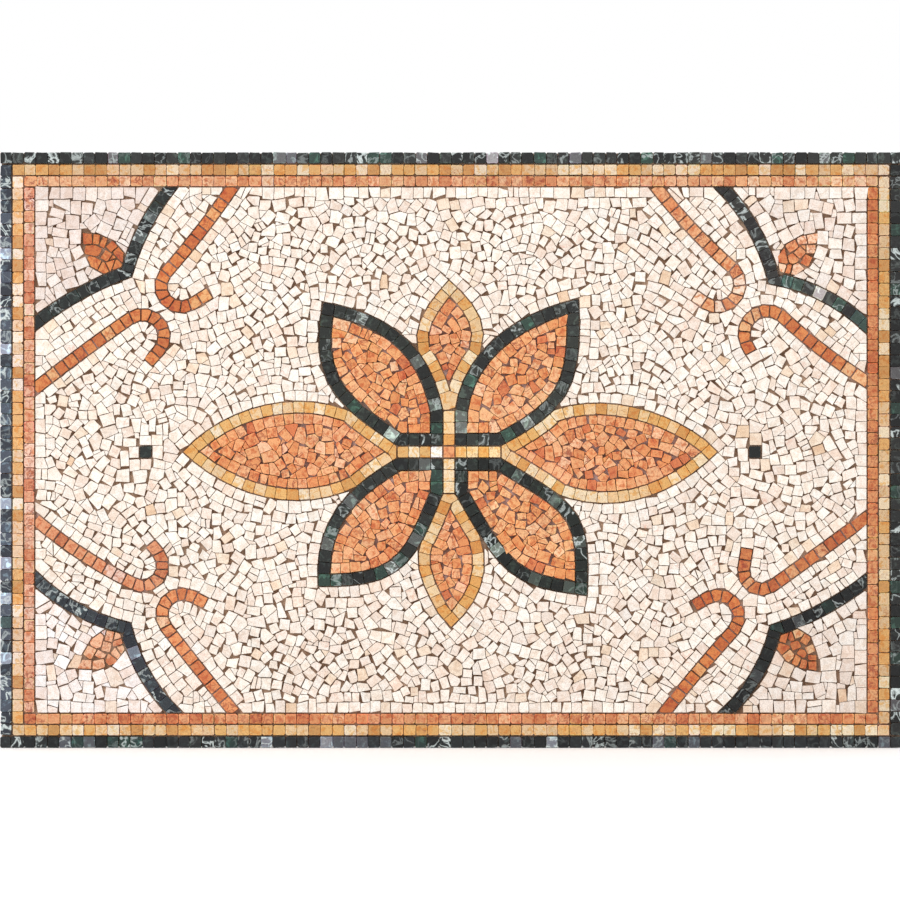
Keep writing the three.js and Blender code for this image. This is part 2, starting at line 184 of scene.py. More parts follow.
def centre_of(outline):
    """The centre of area of an outline."""
    sum_x = 0.0
    sum_y = 0.0
    for (x, y), (next_x, next_y) in zip(outline, outline[1:] + outline[:1]):
        weight = x * next_y - y * next_x
        sum_x += (x + next_x) * weight
        sum_y += (y + next_y) * weight
    area = area_of(outline)
    return sum_x / (6 * area), sum_y / (6 * area)


def clipped(outline, point, normal):
    """The part of a convex outline that lies behind a line through the point, against the normal."""
    limit = point[0] * normal[0] + point[1] * normal[1]
    sides = [x * normal[0] + y * normal[1] - limit for x, y in outline]
    kept = []
    for i, here in enumerate(outline):
        j = (i + 1) % len(outline)
        after = outline[j]
        if sides[i] <= 0:
            kept.append(here)
        if (sides[i] < 0 < sides[j]) or (sides[j] < 0 < sides[i]):
            t = sides[i] / (sides[i] - sides[j])
            kept.append((here[0] + (after[0] - here[0]) * t, here[1] + (after[1] - here[1]) * t))
    return kept


def width_of(outline):
    """The least width of a convex outline."""
    widths = []
    for (px, py), (nx, ny) in edges_of(outline):
        widths.append(max((px - x) * nx + (py - y) * ny for x, y in outline))
    return min(widths)


def tidied(outline, least=SAME_CORNER):
    """An outline without points that lie almost on each other."""
    kept = []
    for x, y in outline:
        if not kept or length_of(x - kept[-1][0], y - kept[-1][1]) > least:
            kept.append((x, y))
    while len(kept) > 3 and length_of(kept[0][0] - kept[-1][0], kept[0][1] - kept[-1][1]) <= least:
        kept.pop()
    return kept


def turned_box(x, y, angle, half_length, half_depth):
    """A rectangle round a point, with its length along the angle."""
    c = math.cos(angle)
    s = math.sin(angle)
    corners = ((-1, -1), (1, -1), (1, 1), (-1, 1))
    return [(x + c * u * half_length - s * v * half_depth, y + s * u * half_length + c * v * half_depth)
            for u, v in corners]


# Reading the areas of stone from the solids' front faces

def front_loops(node):
    """The closed outlines of a solid's front face: counterclockwise outside, clockwise round holes."""
    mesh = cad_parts[node].data
    level = min(vertex.co.y for vertex in mesh.vertices) + 1e-5
    spots = [(round(vertex.co.x * 1e6), round(vertex.co.z * 1e6)) for vertex in mesh.vertices]
    steps = set()
    for face in mesh.polygons:
        if all(mesh.vertices[v].co.y < level for v in face.vertices):
            ring = [spots[v] for v in face.vertices]
            steps.update(zip(ring, ring[1:] + ring[:1]))
    after = {here: there for here, there in steps if (there, here) not in steps}
    loops = []
    seen = set()
    for start in sorted(after):
        loop = []
        spot = start
        while spot not in seen:
            seen.add(spot)
            loop.append((spot[0] / 1e6, spot[1] / 1e6))
            spot = after[spot]
        if len(loop) > 2:
            loops.append(without_straight_points(loop))
    if sum(area_of(loop) for loop in loops) < 0:
        loops = [[loop[0]] + loop[:0:-1] for loop in loops]
    return loops


def without_straight_points(loop):
    """A loop with only the points at which it turns."""
    kept = []
    for before, here, after in zip(loop[-1:] + loop[:-1], loop, loop[1:] + loop[:1]):
        first = (here[0] - before[0], here[1] - before[1])
        second = (after[0] - here[0], after[1] - here[1])
        cross = first[0] * second[1] - first[1] * second[0]
        if abs(cross) > STRAIGHT * length_of(*first) * length_of(*second):
            kept.append(here)
    return kept


class Region:
    """An area of one kind of stone: its boundary segments, with the inside to their left."""

    def __init__(self, loops):
        self.loops = loops
        self.start = np.array([point for loop in loops for point in loop])
        self.end = np.array([point for loop in loops for point in loop[1:] + loop[:1]])
        way = self.end - self.start
        self.size = np.hypot(way[:, 0], way[:, 1])
        self.along = way / self.size[:, None]
        self.low = self.start.min(axis=0)
        self.high = self.start.max(axis=0)

    def nearest(self, points):
        """For each point: its distance to the boundary, and the nearest segment."""
        best = np.full(len(points), 1e9)
        which = np.zeros(len(points), dtype=int)
        for i in range(len(self.start)):
            rel = points - self.start[i]
            t = np.clip(rel @ self.along[i], 0, self.size[i])
            gap = np.hypot(*(rel - t[:, None] * self.along[i]).T)
            closer = gap < best
            best[closer] = gap[closer]
            which[closer] = i
        return best, which

    def holds(self, points):
        """Whether each point is inside, by counting crossings of a line to its right."""
        inside = np.zeros(len(points), dtype=bool)
        for (x0, y0), (x1, y1) in zip(self.start, self.end):
            if y0 != y1:
                spans = (points[:, 1] > y0) != (points[:, 1] > y1)
                x = x0 + (points[:, 1] - y0) * (x1 - x0) / (y1 - y0)
                inside ^= spans & (points[:, 0] < x)
        return inside

    def walls_near(self, x, y, reach):
        """The boundary segments within reach of a point, nearest first."""
        rel = np.array([x, y]) - self.start
        t = np.clip((rel * self.along).sum(axis=1), 0, self.size)
        foot = self.start + self.along * t[:, None]
        gap = np.hypot(x - foot[:, 0], y - foot[:, 1])
        return [k for k in np.argsort(gap)[:MOST_WALLS] if gap[k] < reach]

    def beyond(self, outline, wall):
        """Whether an outline reaches over one boundary segment, and that segment's outward normal."""
        start = self.start[wall]
        along = self.along[wall]
        normal = (along[1], -along[0])
        over = [(x - start[0]) * along[0] + (y - start[1]) * along[1] for x, y in outline
                if (x - start[0]) * normal[0] + (y - start[1]) * normal[1] > TOUCHING]
        return bool(over) and max(over) > 0 and min(over) < self.size[wall], normal

    def boxed(self, outline):
        """An outline cut to the region's bounding box."""
        for point, normal in ((self.high, (1, 0)), (self.high, (0, 1)),
                              (self.low, (-1, 0)), (self.low, (0, -1))):
            if len(outline) > 2:
                outline = clipped(outline, point, normal)
        return outline


# Runs of the boundary between its sharp corners

def corner_turns(loop):
    """How far the boundary turns left at each of a loop's points."""
    turns = []
    for before, here, after in zip(loop[-1:] + loop[:-1], loop, loop[1:] + loop[:1]):
        first = math.atan2(here[1] - before[1], here[0] - before[0])
        second = math.atan2(after[1] - here[1], after[0] - here[0])
        turns.append((second - first + math.pi) % (2 * math.pi) - math.pi)
    return turns


def smooth_runs(loop, sharp):
    """A closed loop cut at its sharp corners into runs of points, each with the turns at its two ends."""
    turns = corner_turns(loop)
    corners = [i for i, turn in enumerate(turns) if abs(turn) > sharp]
    if not corners:
        return [(loop + loop[:1], 0.0, 0.0)]
    runs = []
    for first, last in zip(corners, corners[1:] + corners[:1]):
        steps = (last - first) % len(loop) or len(loop)
        run = [loop[(first + step) % len(loop)] for step in range(steps + 1)]
        runs.append((run, turns[first], turns[last]))
    return runs


def run_length(run):
    return sum(length_of(b[0] - a[0], b[1] - a[1]) for a, b in zip(run, run[1:]))


def run_point(run, distance):
    """The point at a distance along a run, and the run's direction there."""
    for a, b in zip(run, run[1:]):
        step = length_of(b[0] - a[0], b[1] - a[1])
        if distance <= step or b is run[-1]:
            t = distance / step
            along = ((b[0] - a[0]) / step, (b[1] - a[1]) / step)
            return (a[0] + (b[0] - a[0]) * t, a[1] + (b[1] - a[1]) * t), along
        distance -= step


def sites_along(run, aside, start, stop, pitch, rng, wobble):
    """Stone places at even steps along a run, moved aside to the left. Each is x, y and an angle."""
    count = max(1, round((stop - start) / pitch))
    step = (stop - start) / count
    sites = []
    for k in range(count):
        (x, y), (ax, ay) = run_point(run, start + (k + 0.5 + rng.uniform(-wobble, wobble)) * step)
        sites.append((x - ay * aside, y + ax * aside, math.atan2(ay, ax)))
    return sites


# Laying the irregular stones of the field and the fills

def first_course(region, stone, rng):
    """Places of the stones that follow the boundary, with one in each inside corner."""
    sites = []
    for loop in region.loops:
        for run, turn_in, turn_out in smooth_runs(loop, SHARP_CORNER):
            total = run_length(run)
            start = stone if turn_in > 0 else 0.0
            stop = total - (stone if turn_out > 0 else 0.0)
            if stop - start > stone / 2:
                sites += sites_along(run, stone / 2, start, stop, stone, rng, COURSE_WOBBLE)
            elif stop > start * SHORTEST_COURSE:
                middle = min(max((start + stop) / 2, total / 4), total * 3 / 4)
                sites += sites_along(run, stone / 2, middle - stone / 2, middle + stone / 2, stone, rng, 0)
            if turn_in > 0:
                (x, y), (ax, ay) = run_point(run, 0.0)
                heading = math.atan2(ay, ax)
                half = math.pi / 2 - turn_in / 2
                reach = stone / 2 / max(math.sin(half), NARROWEST_CORNER)
                sites.append((x + math.cos(heading + half) * reach,
                              y + math.sin(heading + half) * reach, heading))
    return sites


def scattered(places, count, spacing, rng):
    """Up to count of the places, in random order, no two closer than the spacing."""
    order = list(range(len(places)))
    rng.shuffle(order)
    chosen = []
    near = {}
    for i in order:
        if len(chosen) >= count:
            break
        x, y = places[i]
        column = int(x // spacing)
        row = int(y // spacing)
        rivals = [p for dx in (-1, 0, 1) for dy in (-1, 0, 1) for p in near.get((column + dx, row + dy), ())]
        if all((px - x) ** 2 + (py - y) ** 2 >= spacing ** 2 for px, py in rivals):
            near.setdefault((column, row), []).append((x, y))
            chosen.append((x, y))
    return np.array(chosen).reshape(-1, 2)


def relaxed(sites, angles, fixed, stone, rounds, samples):
    """Moves the free places to the middle of the square-shaped share of the area round each."""
    size = stone * SEARCH_REACH
    low = samples.min(axis=0) - size * 2
    sample_cells = np.floor((samples - low) / size).astype(int)
    for _ in range(rounds):
        cells = np.floor((sites - low) / size).astype(int)
        members = {}
        for i, (column, row) in enumerate(cells):
            members.setdefault((column, row), []).append(i)
        most = max(len(found) for found in members.values())
        columns = max(cells[:, 0].max(), sample_cells[:, 0].max()) + 2
        rows = max(cells[:, 1].max(), sample_cells[:, 1].max()) + 2
        table = np.full((columns, rows, most), -1)
        for (column, row), found in members.items():
            table[column, row, :len(found)] = found
        best = np.full(len(samples), 1e9)
        owner = np.full(len(samples), -1)
        for dx in (-1, 0, 1):
            for dy in (-1, 0, 1):
                for slot in range(most):
                    item = table[sample_cells[:, 0] + dx, sample_cells[:, 1] + dy, slot]
                    there = np.nonzero(item >= 0)[0]
                    item = item[there]
                    delta = samples[there] - sites[item]
                    c = np.cos(angles[item])
                    s = np.sin(angles[item])
                    square = np.maximum(np.abs(delta[:, 0] * c + delta[:, 1] * s),
                                        np.abs(delta[:, 1] * c - delta[:, 0] * s))
                    gap = square + ROUNDNESS * np.hypot(delta[:, 0], delta[:, 1])
                    closer = gap < best[there]
                    best[there[closer]] = gap[closer]
                    owner[there[closer]] = item[closer]
        owned = owner >= 0
        count = np.bincount(owner[owned], minlength=len(sites))
        total = np.column_stack([np.bincount(owner[owned], samples[owned, axis], len(sites))
                                 for axis in (0, 1)])
        free = (count > 0) & ~fixed
        sites[free] = total[free] / count[free, None]
    return sites


def fill_sites(region, stone, rng, wander, rounds, waves):
    """Places and directions of all stones in an area, and the area's samples with their wall distances."""
    course = first_course(region, stone, rng)
    held = region.holds(np.array([(x, y) for x, y, _ in course]))
    course = [site for site, inside in zip(course, held) if inside]
    points = np.array([(x, y) for x, y, _ in course])
    across = np.arange(region.low[0] + SAMPLE_STEP / 2, region.high[0], SAMPLE_STEP)
    up = np.arange(region.low[1] + SAMPLE_STEP / 2, region.high[1], SAMPLE_STEP)
    grid_x, grid_y = np.meshgrid(across, up)
    samples = np.column_stack([grid_x.ravel(), grid_y.ravel()])
    samples = samples[region.holds(samples)]
    room = region.nearest(samples)[0]
    inner = samples[room > stone * INNER_ROOM]
    free = round(len(inner) * SAMPLE_STEP ** 2 / (stone ** 2 * STONE_ROOM))
    sites = np.vstack([points, scattered(inner, free, stone * LEAST_SPACING, rng)])
    fixed = np.arange(len(sites)) < len(points)
    gap, wall = region.nearest(sites)
    flow = np.arctan2(region.along[wall, 1], region.along[wall, 0])
    bend = np.zeros(len(sites))
    for _ in range(FLOW_WAVES):
        pace = rng.uniform(*FLOW_PACES)
        way = rng.uniform(0, 2 * math.pi)
        phase = rng.uniform(0, 2 * math.pi)
        bend += np.sin(pace * (sites[:, 0] * math.cos(way) + sites[:, 1] * math.sin(way)) + phase)
    chance = np.array([rng.gauss(0, wander) for _ in sites])
    angles = flow + np.clip((gap - stone) / (stone * FLOW_START), 0, 1) * bend * waves
    angles += np.clip(gap / stone - WANDER_START, 0, 1) * chance
    angles[:len(points)] = [angle + rng.gauss(0, COURSE_TURN) for _, _, angle in course]
    return relaxed(sites, angles, fixed, stone, rounds, samples), angles, samples, room


class Neighbours:
    """Finds the stones round a point."""

    def __init__(self, points, size):
        self.size = size
        self.cells = {}
        for i, (x, y) in enumerate(points):
            self.add(i, x, y)

    def add(self, i, x, y):
        self.cells.setdefault((int(x // self.size), int(y // self.size)), []).append(i)

    def around(self, x, y):
        column = int(x // self.size)
        row = int(y // self.size)
        return [i for dx in (-1, 0, 1) for dy in (-1, 0, 1)
                for i in self.cells.get((column + dx, row + dy), ())]


def paired_sites(sites, angles, stone, rng):
    """Makes one place of some neighbouring pairs, for oblong stones."""
    grid = Neighbours(sites, stone * PAIR_REACH)
    gone = set()
    for i, (x, y) in enumerate(sites):
        if rng.random() > OBLONG_SHARE or i in gone:
            continue
        near = [(length_of(sites[j][0] - x, sites[j][1] - y), j) for j in grid.around(x, y)
                if j != i and j not in gone]
        if near:
            j = min(near)[1]
            angles[i] = math.atan2(sites[j][1] - y, sites[j][0] - x)
            sites[i] = (sites[i] + sites[j]) / 2
            gone.add(j)
    kept = [i for i in range(len(sites)) if i not in gone]
    return sites[kept], angles[kept]


def stone_axis(dx, dy, angle):
    """The side of a square stone that faces a direction best, and how far off it is."""
    way = math.atan2(dy, dx)
    turn = round((way - angle) / (math.pi / 2)) * (math.pi / 2) + angle
    return turn, abs(way - turn)


def stone_cells(region, sites, angles, stone, rng, joint, reach, uneven, squares):
    """One convex outline for each place: a turned square, cut where its neighbours and the walls begin.

    The given share of them keep their right angles, which leaves wedge-shaped gaps beside the turned ones.
    """
    grid = Neighbours(sites, stone * 2.2)
    sizes = [1 + rng.gauss(0, uneven) for _ in sites]
    square = [rng.random() < squares for _ in sites]
    cells = []
    for i, (x, y) in enumerate(sites):
        half = stone * reach * sizes[i]
        box = turned_box(x, y, angles[i], half * rng.uniform(*STONE_LENGTHS), half)
        for j in grid.around(x, y):
            dx = sites[j][0] - x
            dy = sites[j][1] - y
            if j == i or not SAME_PLACE < length_of(dx, dy) < stone * RIVAL_REACH or len(box) < 3:
                continue
            turn, off = stone_axis(dx, dy, angles[i])
            other_turn, other_off = stone_axis(dx, dy, angles[j])
            back = joint / 2
            if square[i]:
                back += abs(math.sin(turn - other_turn)) * stone * WEDGE if off < math.pi / 5 else 0.0
            elif other_off < off:
                turn = other_turn
            normal = (math.cos(turn), math.sin(turn))
            share = sizes[i] / (sizes[i] + sizes[j])
            point = (x + dx * share - normal[0] * back, y + dy * share - normal[1] * back)
            box = clipped(box, point, normal)
        for wall in region.walls_near(x, y, stone * SEARCH_REACH):
            if len(box) > 2:
                over, normal = region.beyond(box, wall)
                start = region.start[wall]
                inside = (x - start[0]) * normal[0] + (y - start[1]) * normal[1] <= 0
                if over and inside:
                    box = clipped(box, start, normal)
        box = region.boxed(box) if len(box) > 2 else box
        if len(box) > 2 and area_of(box) > SMALLEST_STONE ** 2:
            cells.append(box)
    return cells


def edges_of(outline):
    """Each edge's first point and outward normal."""
    edges = []
    for (x, y), (next_x, next_y) in zip(outline, outline[1:] + outline[:1]):
        size = length_of(next_x - x, next_y - y)
        if size > TOUCHING:
            edges.append(((x, y), ((next_y - y) / size, (x - next_x) / size)))
    return edges


def apart(outline, edges, other, other_edges, gap):
    """Whether two convex stones keep a joint between them."""
    for lines, points in ((edges, other), (other_edges, outline)):
        for (px, py), (nx, ny) in lines:
            if min((x - px) * nx + (y - py) * ny for x, y in points) >= gap:
                return True
    return False


def tapered_cells(cells, rng, share):
    """Gives a share of the stones one slanting side."""
    result = []
    for cell in cells:
        k = rng.randrange(len(cell))
        slant = rng.uniform(LEAST_SLANT, STEEPEST_SLANT) * rng.choice((-1, 1))
        if rng.random() < share:
            a = cell[k]
            b = cell[(k + 1) % len(cell)]
            angle = math.atan2(a[0] - b[0], b[1] - a[1]) + slant
            pivot = b if slant < 0 else a
            slanted = clipped(cell, pivot, (math.cos(angle), math.sin(angle)))
            if len(slanted) > 2 and width_of(slanted) > THINNEST_HALF:
                cell = slanted
        result.append(cell)
    return result


def parted_cells(cells, joint):
    """Trims stones that would overlap, each pair along the edge that costs the least."""
    cells = list(cells)
    edges = [edges_of(cell) for cell in cells]
    middles = [centre_of(cell) for cell in cells]
    grid = Neighbours(middles, STONE_SPAN)
    for i in range(len(cells)):
        for j in grid.around(*middles[i]):
            if j <= i or not cells[i] or not cells[j]:
                continue
            best = -1.0
            for lines, points, target in ((edges[i], cells[j], j), (edges[j], cells[i], i)):
                for (px, py), (nx, ny) in lines:
                    gap = min((x - px) * nx + (y - py) * ny for x, y in points)
                    if gap > best:
                        best = gap
                        cut = (target, (px + nx * joint, py + ny * joint), (-nx, -ny))
            if best < joint:
                target, point, normal = cut
                trimmed = clipped(cells[target], point, normal)
                large = len(trimmed) > 2 and area_of(trimmed) > SMALLEST_STONE ** 2
                cells[target] = trimmed if large else None
                edges[target] = edges_of(trimmed) if large else None
    return [tidied(cell) for cell in cells if cell]


def edge_moves(edges, k):
    """Lines that would let a stone's edge out: moved, and then turned about either of its ends."""
    (px, py), (nx, ny) = edges[k]
    moves = [((px + nx * GROWTH * share, py + ny * GROWTH * share), (nx, ny))
             for share in GROWTH_STEPS]
    after = edges[(k + 1) % len(edges)][0]
    turns = []
    for slant in GROWTH_SLANTS:
        c = math.cos(slant)
        s = math.sin(slant)
        turns.append(((px, py), (nx * c + ny * s, ny * c - nx * s)))
        turns.append((after, (nx * c - ny * s, ny * c + nx * s)))
    return moves, turns


def grown_cells(cells, region, rng, joint):
    """Lets stones reach into the gaps beside them, one edge at a time, as far as the joints allow."""
    cells = list(cells)
    edges = [edges_of(cell) for cell in cells]
    middles = [centre_of(cell) for cell in cells]
    reach = [max(length_of(x - mx, y - my) for x, y in cell) for cell, (mx, my) in zip(cells, middles)]
    grid = Neighbours(middles, GROWN_SPAN)
    order = list(range(len(cells)))
    rng.shuffle(order)
    for i in order:
        mx, my = middles[i]
        rivals = [j for j in grid.around(mx, my) if j != i
                  and length_of(middles[j][0] - mx, middles[j][1] - my) < reach[i] + reach[j] + GROWTH * 2]
        walls = region.walls_near(mx, my, reach[i] + GROWTH * 2)
        slanting = rng.random() < SLANTED_SHARE
        for k, kind in [(k, kind) for k in range(len(edges[i])) for kind in (0, 1)]:
            if kind == 1 and not slanting:
                continue
            for point, normal in edge_moves(edges[i], k)[kind]:
                box = turned_box(mx, my, 0, WIDE_BOX, WIDE_BOX)
                for e, edge in enumerate(edges[i]):
                    box = clipped(box, *((point, normal) if e == k else edge))
                far = max(length_of(x - mx, y - my) for x, y in box)
                if far > max(reach[i], LONGEST_REACH) or any(region.beyond(box, wall)[0] for wall in walls):
                    continue
                box_edges = edges_of(box)
                if len(box_edges) == len(edges[i]) and all(
                        apart(box, box_edges, cells[j], edges[j], joint) for j in rivals):
                    first = min(range(len(box_edges)), key=lambda n: length_of(
                        box_edges[n][1][0] - edges[i][0][1][0], box_edges[n][1][1] - edges[i][0][1][1]))
                    cells[i] = box
                    edges[i] = box_edges[first:] + box_edges[:first]
                    reach[i] = max(reach[i], far)
                    break
    return cells


def split_cells(cells, rng, share, joint):
    """Cuts a share of the stones in two across the middle."""
    result = []
    for cell in cells:
        k = rng.randrange(len(cell))
        slant = rng.gauss(0, SPLIT_SLANT)
        if rng.random() > share:
            result.append(cell)
            continue
        a = cell[k]
        b = cell[(k + 1) % len(cell)]
        angle = math.atan2(b[1] - a[1], b[0] - a[0]) + slant
        nx = math.sin(angle)
        ny = -math.cos(angle)
        x, y = centre_of(cell)
        parts = [clipped(cell, (x - nx * joint / 2, y - ny * joint / 2), (nx, ny)),
                 clipped(cell, (x + nx * joint / 2, y + ny * joint / 2), (-nx, -ny))]
        large = all(len(part) > 2 and width_of(part) > THINNEST_HALF for part in parts)
        result += parts if large else [cell]
    return result


def filler_cells(cells, samples, room, region, joint):
    """Small stones and slivers for the gaps that are left between the others."""
    cells = list(cells)
    columns = np.round((samples[:, 0] - samples[:, 0].min()) / SAMPLE_STEP).astype(int)
    rows = np.round((samples[:, 1] - samples[:, 1].min()) / SAMPLE_STEP).astype(int)
    index = np.full((columns.max() + 1, rows.max() + 1), -1)
    index[columns, rows] = np.arange(len(samples))
    low = samples.min(axis=0)
    clear = np.minimum(room, WIDEST_GAP)

    def mark(edges, middle):
        first = np.maximum(np.floor((np.array(middle) - MARKED_REACH - low) / SAMPLE_STEP).astype(int), 0)
        last = np.maximum(np.ceil((np.array(middle) + MARKED_REACH - low) / SAMPLE_STEP).astype(int), 0)
        near = index[first[0]:last[0], first[1]:last[1]].ravel()
        near = near[near >= 0]
        gap = np.max([(samples[near] - point) @ np.array(normal) for point, normal in edges], axis=0)
        clear[near] = np.minimum(clear[near], gap)

    edges = [edges_of(cell) for cell in cells]
    middles = [centre_of(cell) for cell in cells]
    for cell_edges, middle in zip(edges, middles):
        mark(cell_edges, middle)
    grid = Neighbours(middles, FILLER_SPAN)
    for i in np.argsort(-clear):
        if clear[i] < FILLER_ROOM:
            continue
        x, y = samples[i]
        rivals = grid.around(x, y)
        turn = 0.0
        nearest = 1.0
        cuts = []
        for j in rivals:
            gaps = [((x - px) * nx + (y - py) * ny, (px, py), (nx, ny)) for (px, py), (nx, ny) in edges[j]]
            gap, point, normal = max(gaps)
            cuts.append((point, normal))
            if gap < nearest:
                nearest = gap
                turn = math.atan2(normal[1], normal[0])
        box = turned_box(x, y, turn, FILLER_HALF, FILLER_HALF)
        for (px, py), (nx, ny) in cuts:
            if len(box) > 2:
                box = clipped(box, (px + nx * joint, py + ny * joint), (-nx, -ny))
        for wall in region.walls_near(x, y, FILLER_REACH):
            if len(box) > 2:
                over, normal = region.beyond(box, wall)
                if over:
                    box = clipped(box, region.start[wall], normal)
        box = tidied(box, SAME_CORNER * 2)
        if len(box) > 2 and width_of(box) > THINNEST_FILLER:
            middles.append(centre_of(box))
            grid.add(len(cells), *middles[-1])
            cells.append(box)
            edges.append(edges_of(box))
            mark(edges[-1], middles[-1])
    return cells


def laid_area(node, stone, rng, wander, rounds, waves, tapers, halves, joint=THIN_JOINT):
    """The irregular stones that fill one area of the picture."""
    region = Region(front_loops(node))
    sites, angles, samples, room = fill_sites(region, stone, rng, wander, rounds, waves)
    sites, angles = paired_sites(sites, angles, stone, rng)
    cells = stone_cells(region, sites, angles, stone, rng, joint, AREA_REACH, AREA_UNEVEN, SQUARE_SHARE)
    cells = parted_cells(tapered_cells(cells, rng, tapers), joint)
    cells = grown_cells(cells, region, rng, joint)
    cells = filler_cells(cells, samples, room, region, joint)
    return split_cells(cells, rng, halves, SPLIT_JOINT)


# Laying the bands, rows and single stones

def band_cells(region, sites, stone, rng, joint):
    points = [(x, y) for x, y, _ in sites]
    angles = [angle for _, _, angle in sites]
    return stone_cells(region, points, angles, stone, rng, joint, BAND_REACH, BAND_UNEVEN, 0.0)


def ring_band(node, stone, rng):
    """The stones of a band that closes round a fill, with one stone at each of its sharp corners."""
    loops = front_loops(node)
    hole = min(loops, key=lambda loop: abs(area_of(loop)))
    outside = max(loops, key=lambda loop: abs(area_of(loop)))
    width = float(np.median(Region([outside]).nearest(np.array(hole))[0]))
    sites = []
    for run, turn_in, _ in smooth_runs(hole, BAND_CORNER):
        sites += sites_along(run, width / 2, 0.0, run_length(run), stone, rng, BAND_WOBBLE)
        if turn_in:
            (x, y), (ax, ay) = run_point(run, 0.0)
            heading = math.atan2(ay, ax)
            out = heading + math.pi / 2 - turn_in / 2
            reach = width / 2 / max(math.cos(turn_in / 2), NARROWEST_TIP)
            sites.append((x + math.cos(out) * reach, y + math.sin(out) * reach, heading))
    return band_cells(Region(loops), sites, stone, rng, TIGHT_JOINT)


def bow_band(node, stone, rng):
    """The stones of a bracket: two bows that meet in its point, laid along its two outer sides."""
    loops = front_loops(node)
    runs = sorted(smooth_runs(loops[0], BOW_CORNER), key=lambda item: -run_length(item[0]))[:BOW_SIDES]
    outer = [run for run, turn_in, turn_out in runs if turn_in > 0 and turn_out > 0]
    sites = []
    for run in outer:
        sites += sites_along(run, stone / 2, 0.0, run_length(run), stone, rng, BAND_WOBBLE)
    return band_cells(Region(loops), sites, stone, rng, TIGHT_JOINT)


def hook_band(node, stone, rng):
    """The stones of a hook, laid along its longest side."""
    loops = front_loops(node)
    run = max(smooth_runs(loops[0], BAND_CORNER), key=lambda item: run_length(item[0]))[0]
    sites = sites_along(run, HOOK_WIDTH / 2, 0.0, run_length(run), stone, rng, BAND_WOBBLE)
    return band_cells(Region(loops), sites, stone, rng, HOOK_JOINT)


def row_cells(node, stone, rng, ragged):
    """A straight row of square stones that fills a solid's box, each a little short of its sides."""
    low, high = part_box(node)
    upright = high.z - low.z > high.x - low.x
    start, stop = (low.z, high.z) if upright else (low.x, high.x)
    near, far = (low.x, high.x) if upright else (low.z, high.z)
    count = max(1, round((stop - start) / stone))
    pitch = (stop - start) / count
    cuts = [start + k * pitch + (rng.gauss(0, pitch * ROW_UNEVEN) if 0 < k < count else 0.0)
            for k in range(count + 1)]
    cells = []
    for first, last in zip(cuts, cuts[1:]):
        a = first + TIGHT_JOINT * rng.uniform(*JOINT_SHARES)
        b = last - TIGHT_JOINT * rng.uniform(*JOINT_SHARES)
        lean = [rng.gauss(0, ROW_LEAN) for _ in range(4)]
        inset = [abs(rng.gauss(0, spread)) for spread in (ragged[0], ragged[0], ragged[1], ragged[1])]
        corners = [(a + lean[0], near + inset[0]), (b + lean[1], near + inset[1]),
                   (b + lean[2], far - inset[2]), (a + lean[3], far - inset[3])]
        if upright:
            corners = [(y, x) for x, y in reversed(corners)]
        cells.append(corners)
    return cells


def single_cell(node):
    """One stone with the solid's own outline."""
    return [front_loops(node)[0]]


# Making the stones

def linear(colour):
    """Linear light from a colour in 0 to 255 as it looks."""
    return [((part / 255 + 0.055) / 1.055) ** 2.4 for part in colour]


def picked(palette, rng):
    """One colour of a palette of (colour, share) pairs, slightly varied."""
    colour = rng.choices([c for c, _ in palette], [share for _, share in palette])[0]
    bright = rng.gauss(1, TONE_SPREAD)
    warm = rng.gauss(0, WARMTH_SPREAD)
    red, green, blue = linear(colour)
    return red * bright * (1 + warm), green * bright, blue * bright * (1 - warm)


def worn_outline(outline, rng, chip, chipped):
    """An outline with some corners knocked off and its longer edges slightly uneven."""
    points = []
    count = len(outline)
    for i, (x, y) in enumerate(outline):
        before = outline[i - 1]
        after = outline[(i + 1) % count]
        size_in = length_of(x - before[0], y - before[1])
        size_out = length_of(after[0] - x, after[1] - y)
        loss = min(chip * rng.uniform(*CHIP_SIZES), size_in * MOST_CHIPPED, size_out * MOST_CHIPPED)
        if rng.random() < chipped:
            points.append((x + (before[0] - x) * loss / size_in, y + (before[1] - y) * loss / size_in))
            points.append((x + (after[0] - x) * loss / size_out, y + (after[1] - y) * loss / size_out))
        else:
            points.append((x, y))
        if size_out > DENTED_EDGE:
            t = rng.uniform(*DENT_PLACES)
            dent = -abs(rng.gauss(0, chip * DENT))
            nx = (after[1] - y) / size_out
            ny = (x - after[0]) / size_out
            points.append((x + (after[0] - x) * t + nx * dent, y + (after[1] - y) * t + ny * dent))
    return tidied(points, SAME_CORNER / 2)


def inset_points(outline, amounts):
    """The points of an outline moved inwards, each by its own amount."""
    moved = []
    count = len(outline)
    for i, (x, y) in enumerate(outline):
        before = outline[i - 1]
        after = outline[(i + 1) % count]
        nx = before[1] - after[1]
        ny = after[0] - before[0]
        size = length_of(nx, ny)
        moved.append((x + nx / size * amounts[i], y + ny / size * amounts[i]))
    return moved


def placed(name, data):
    """A new object in the scene."""
    item = bpy.data.objects.new(name, data)
    bpy.context.scene.collection.objects.link(item)
    return item


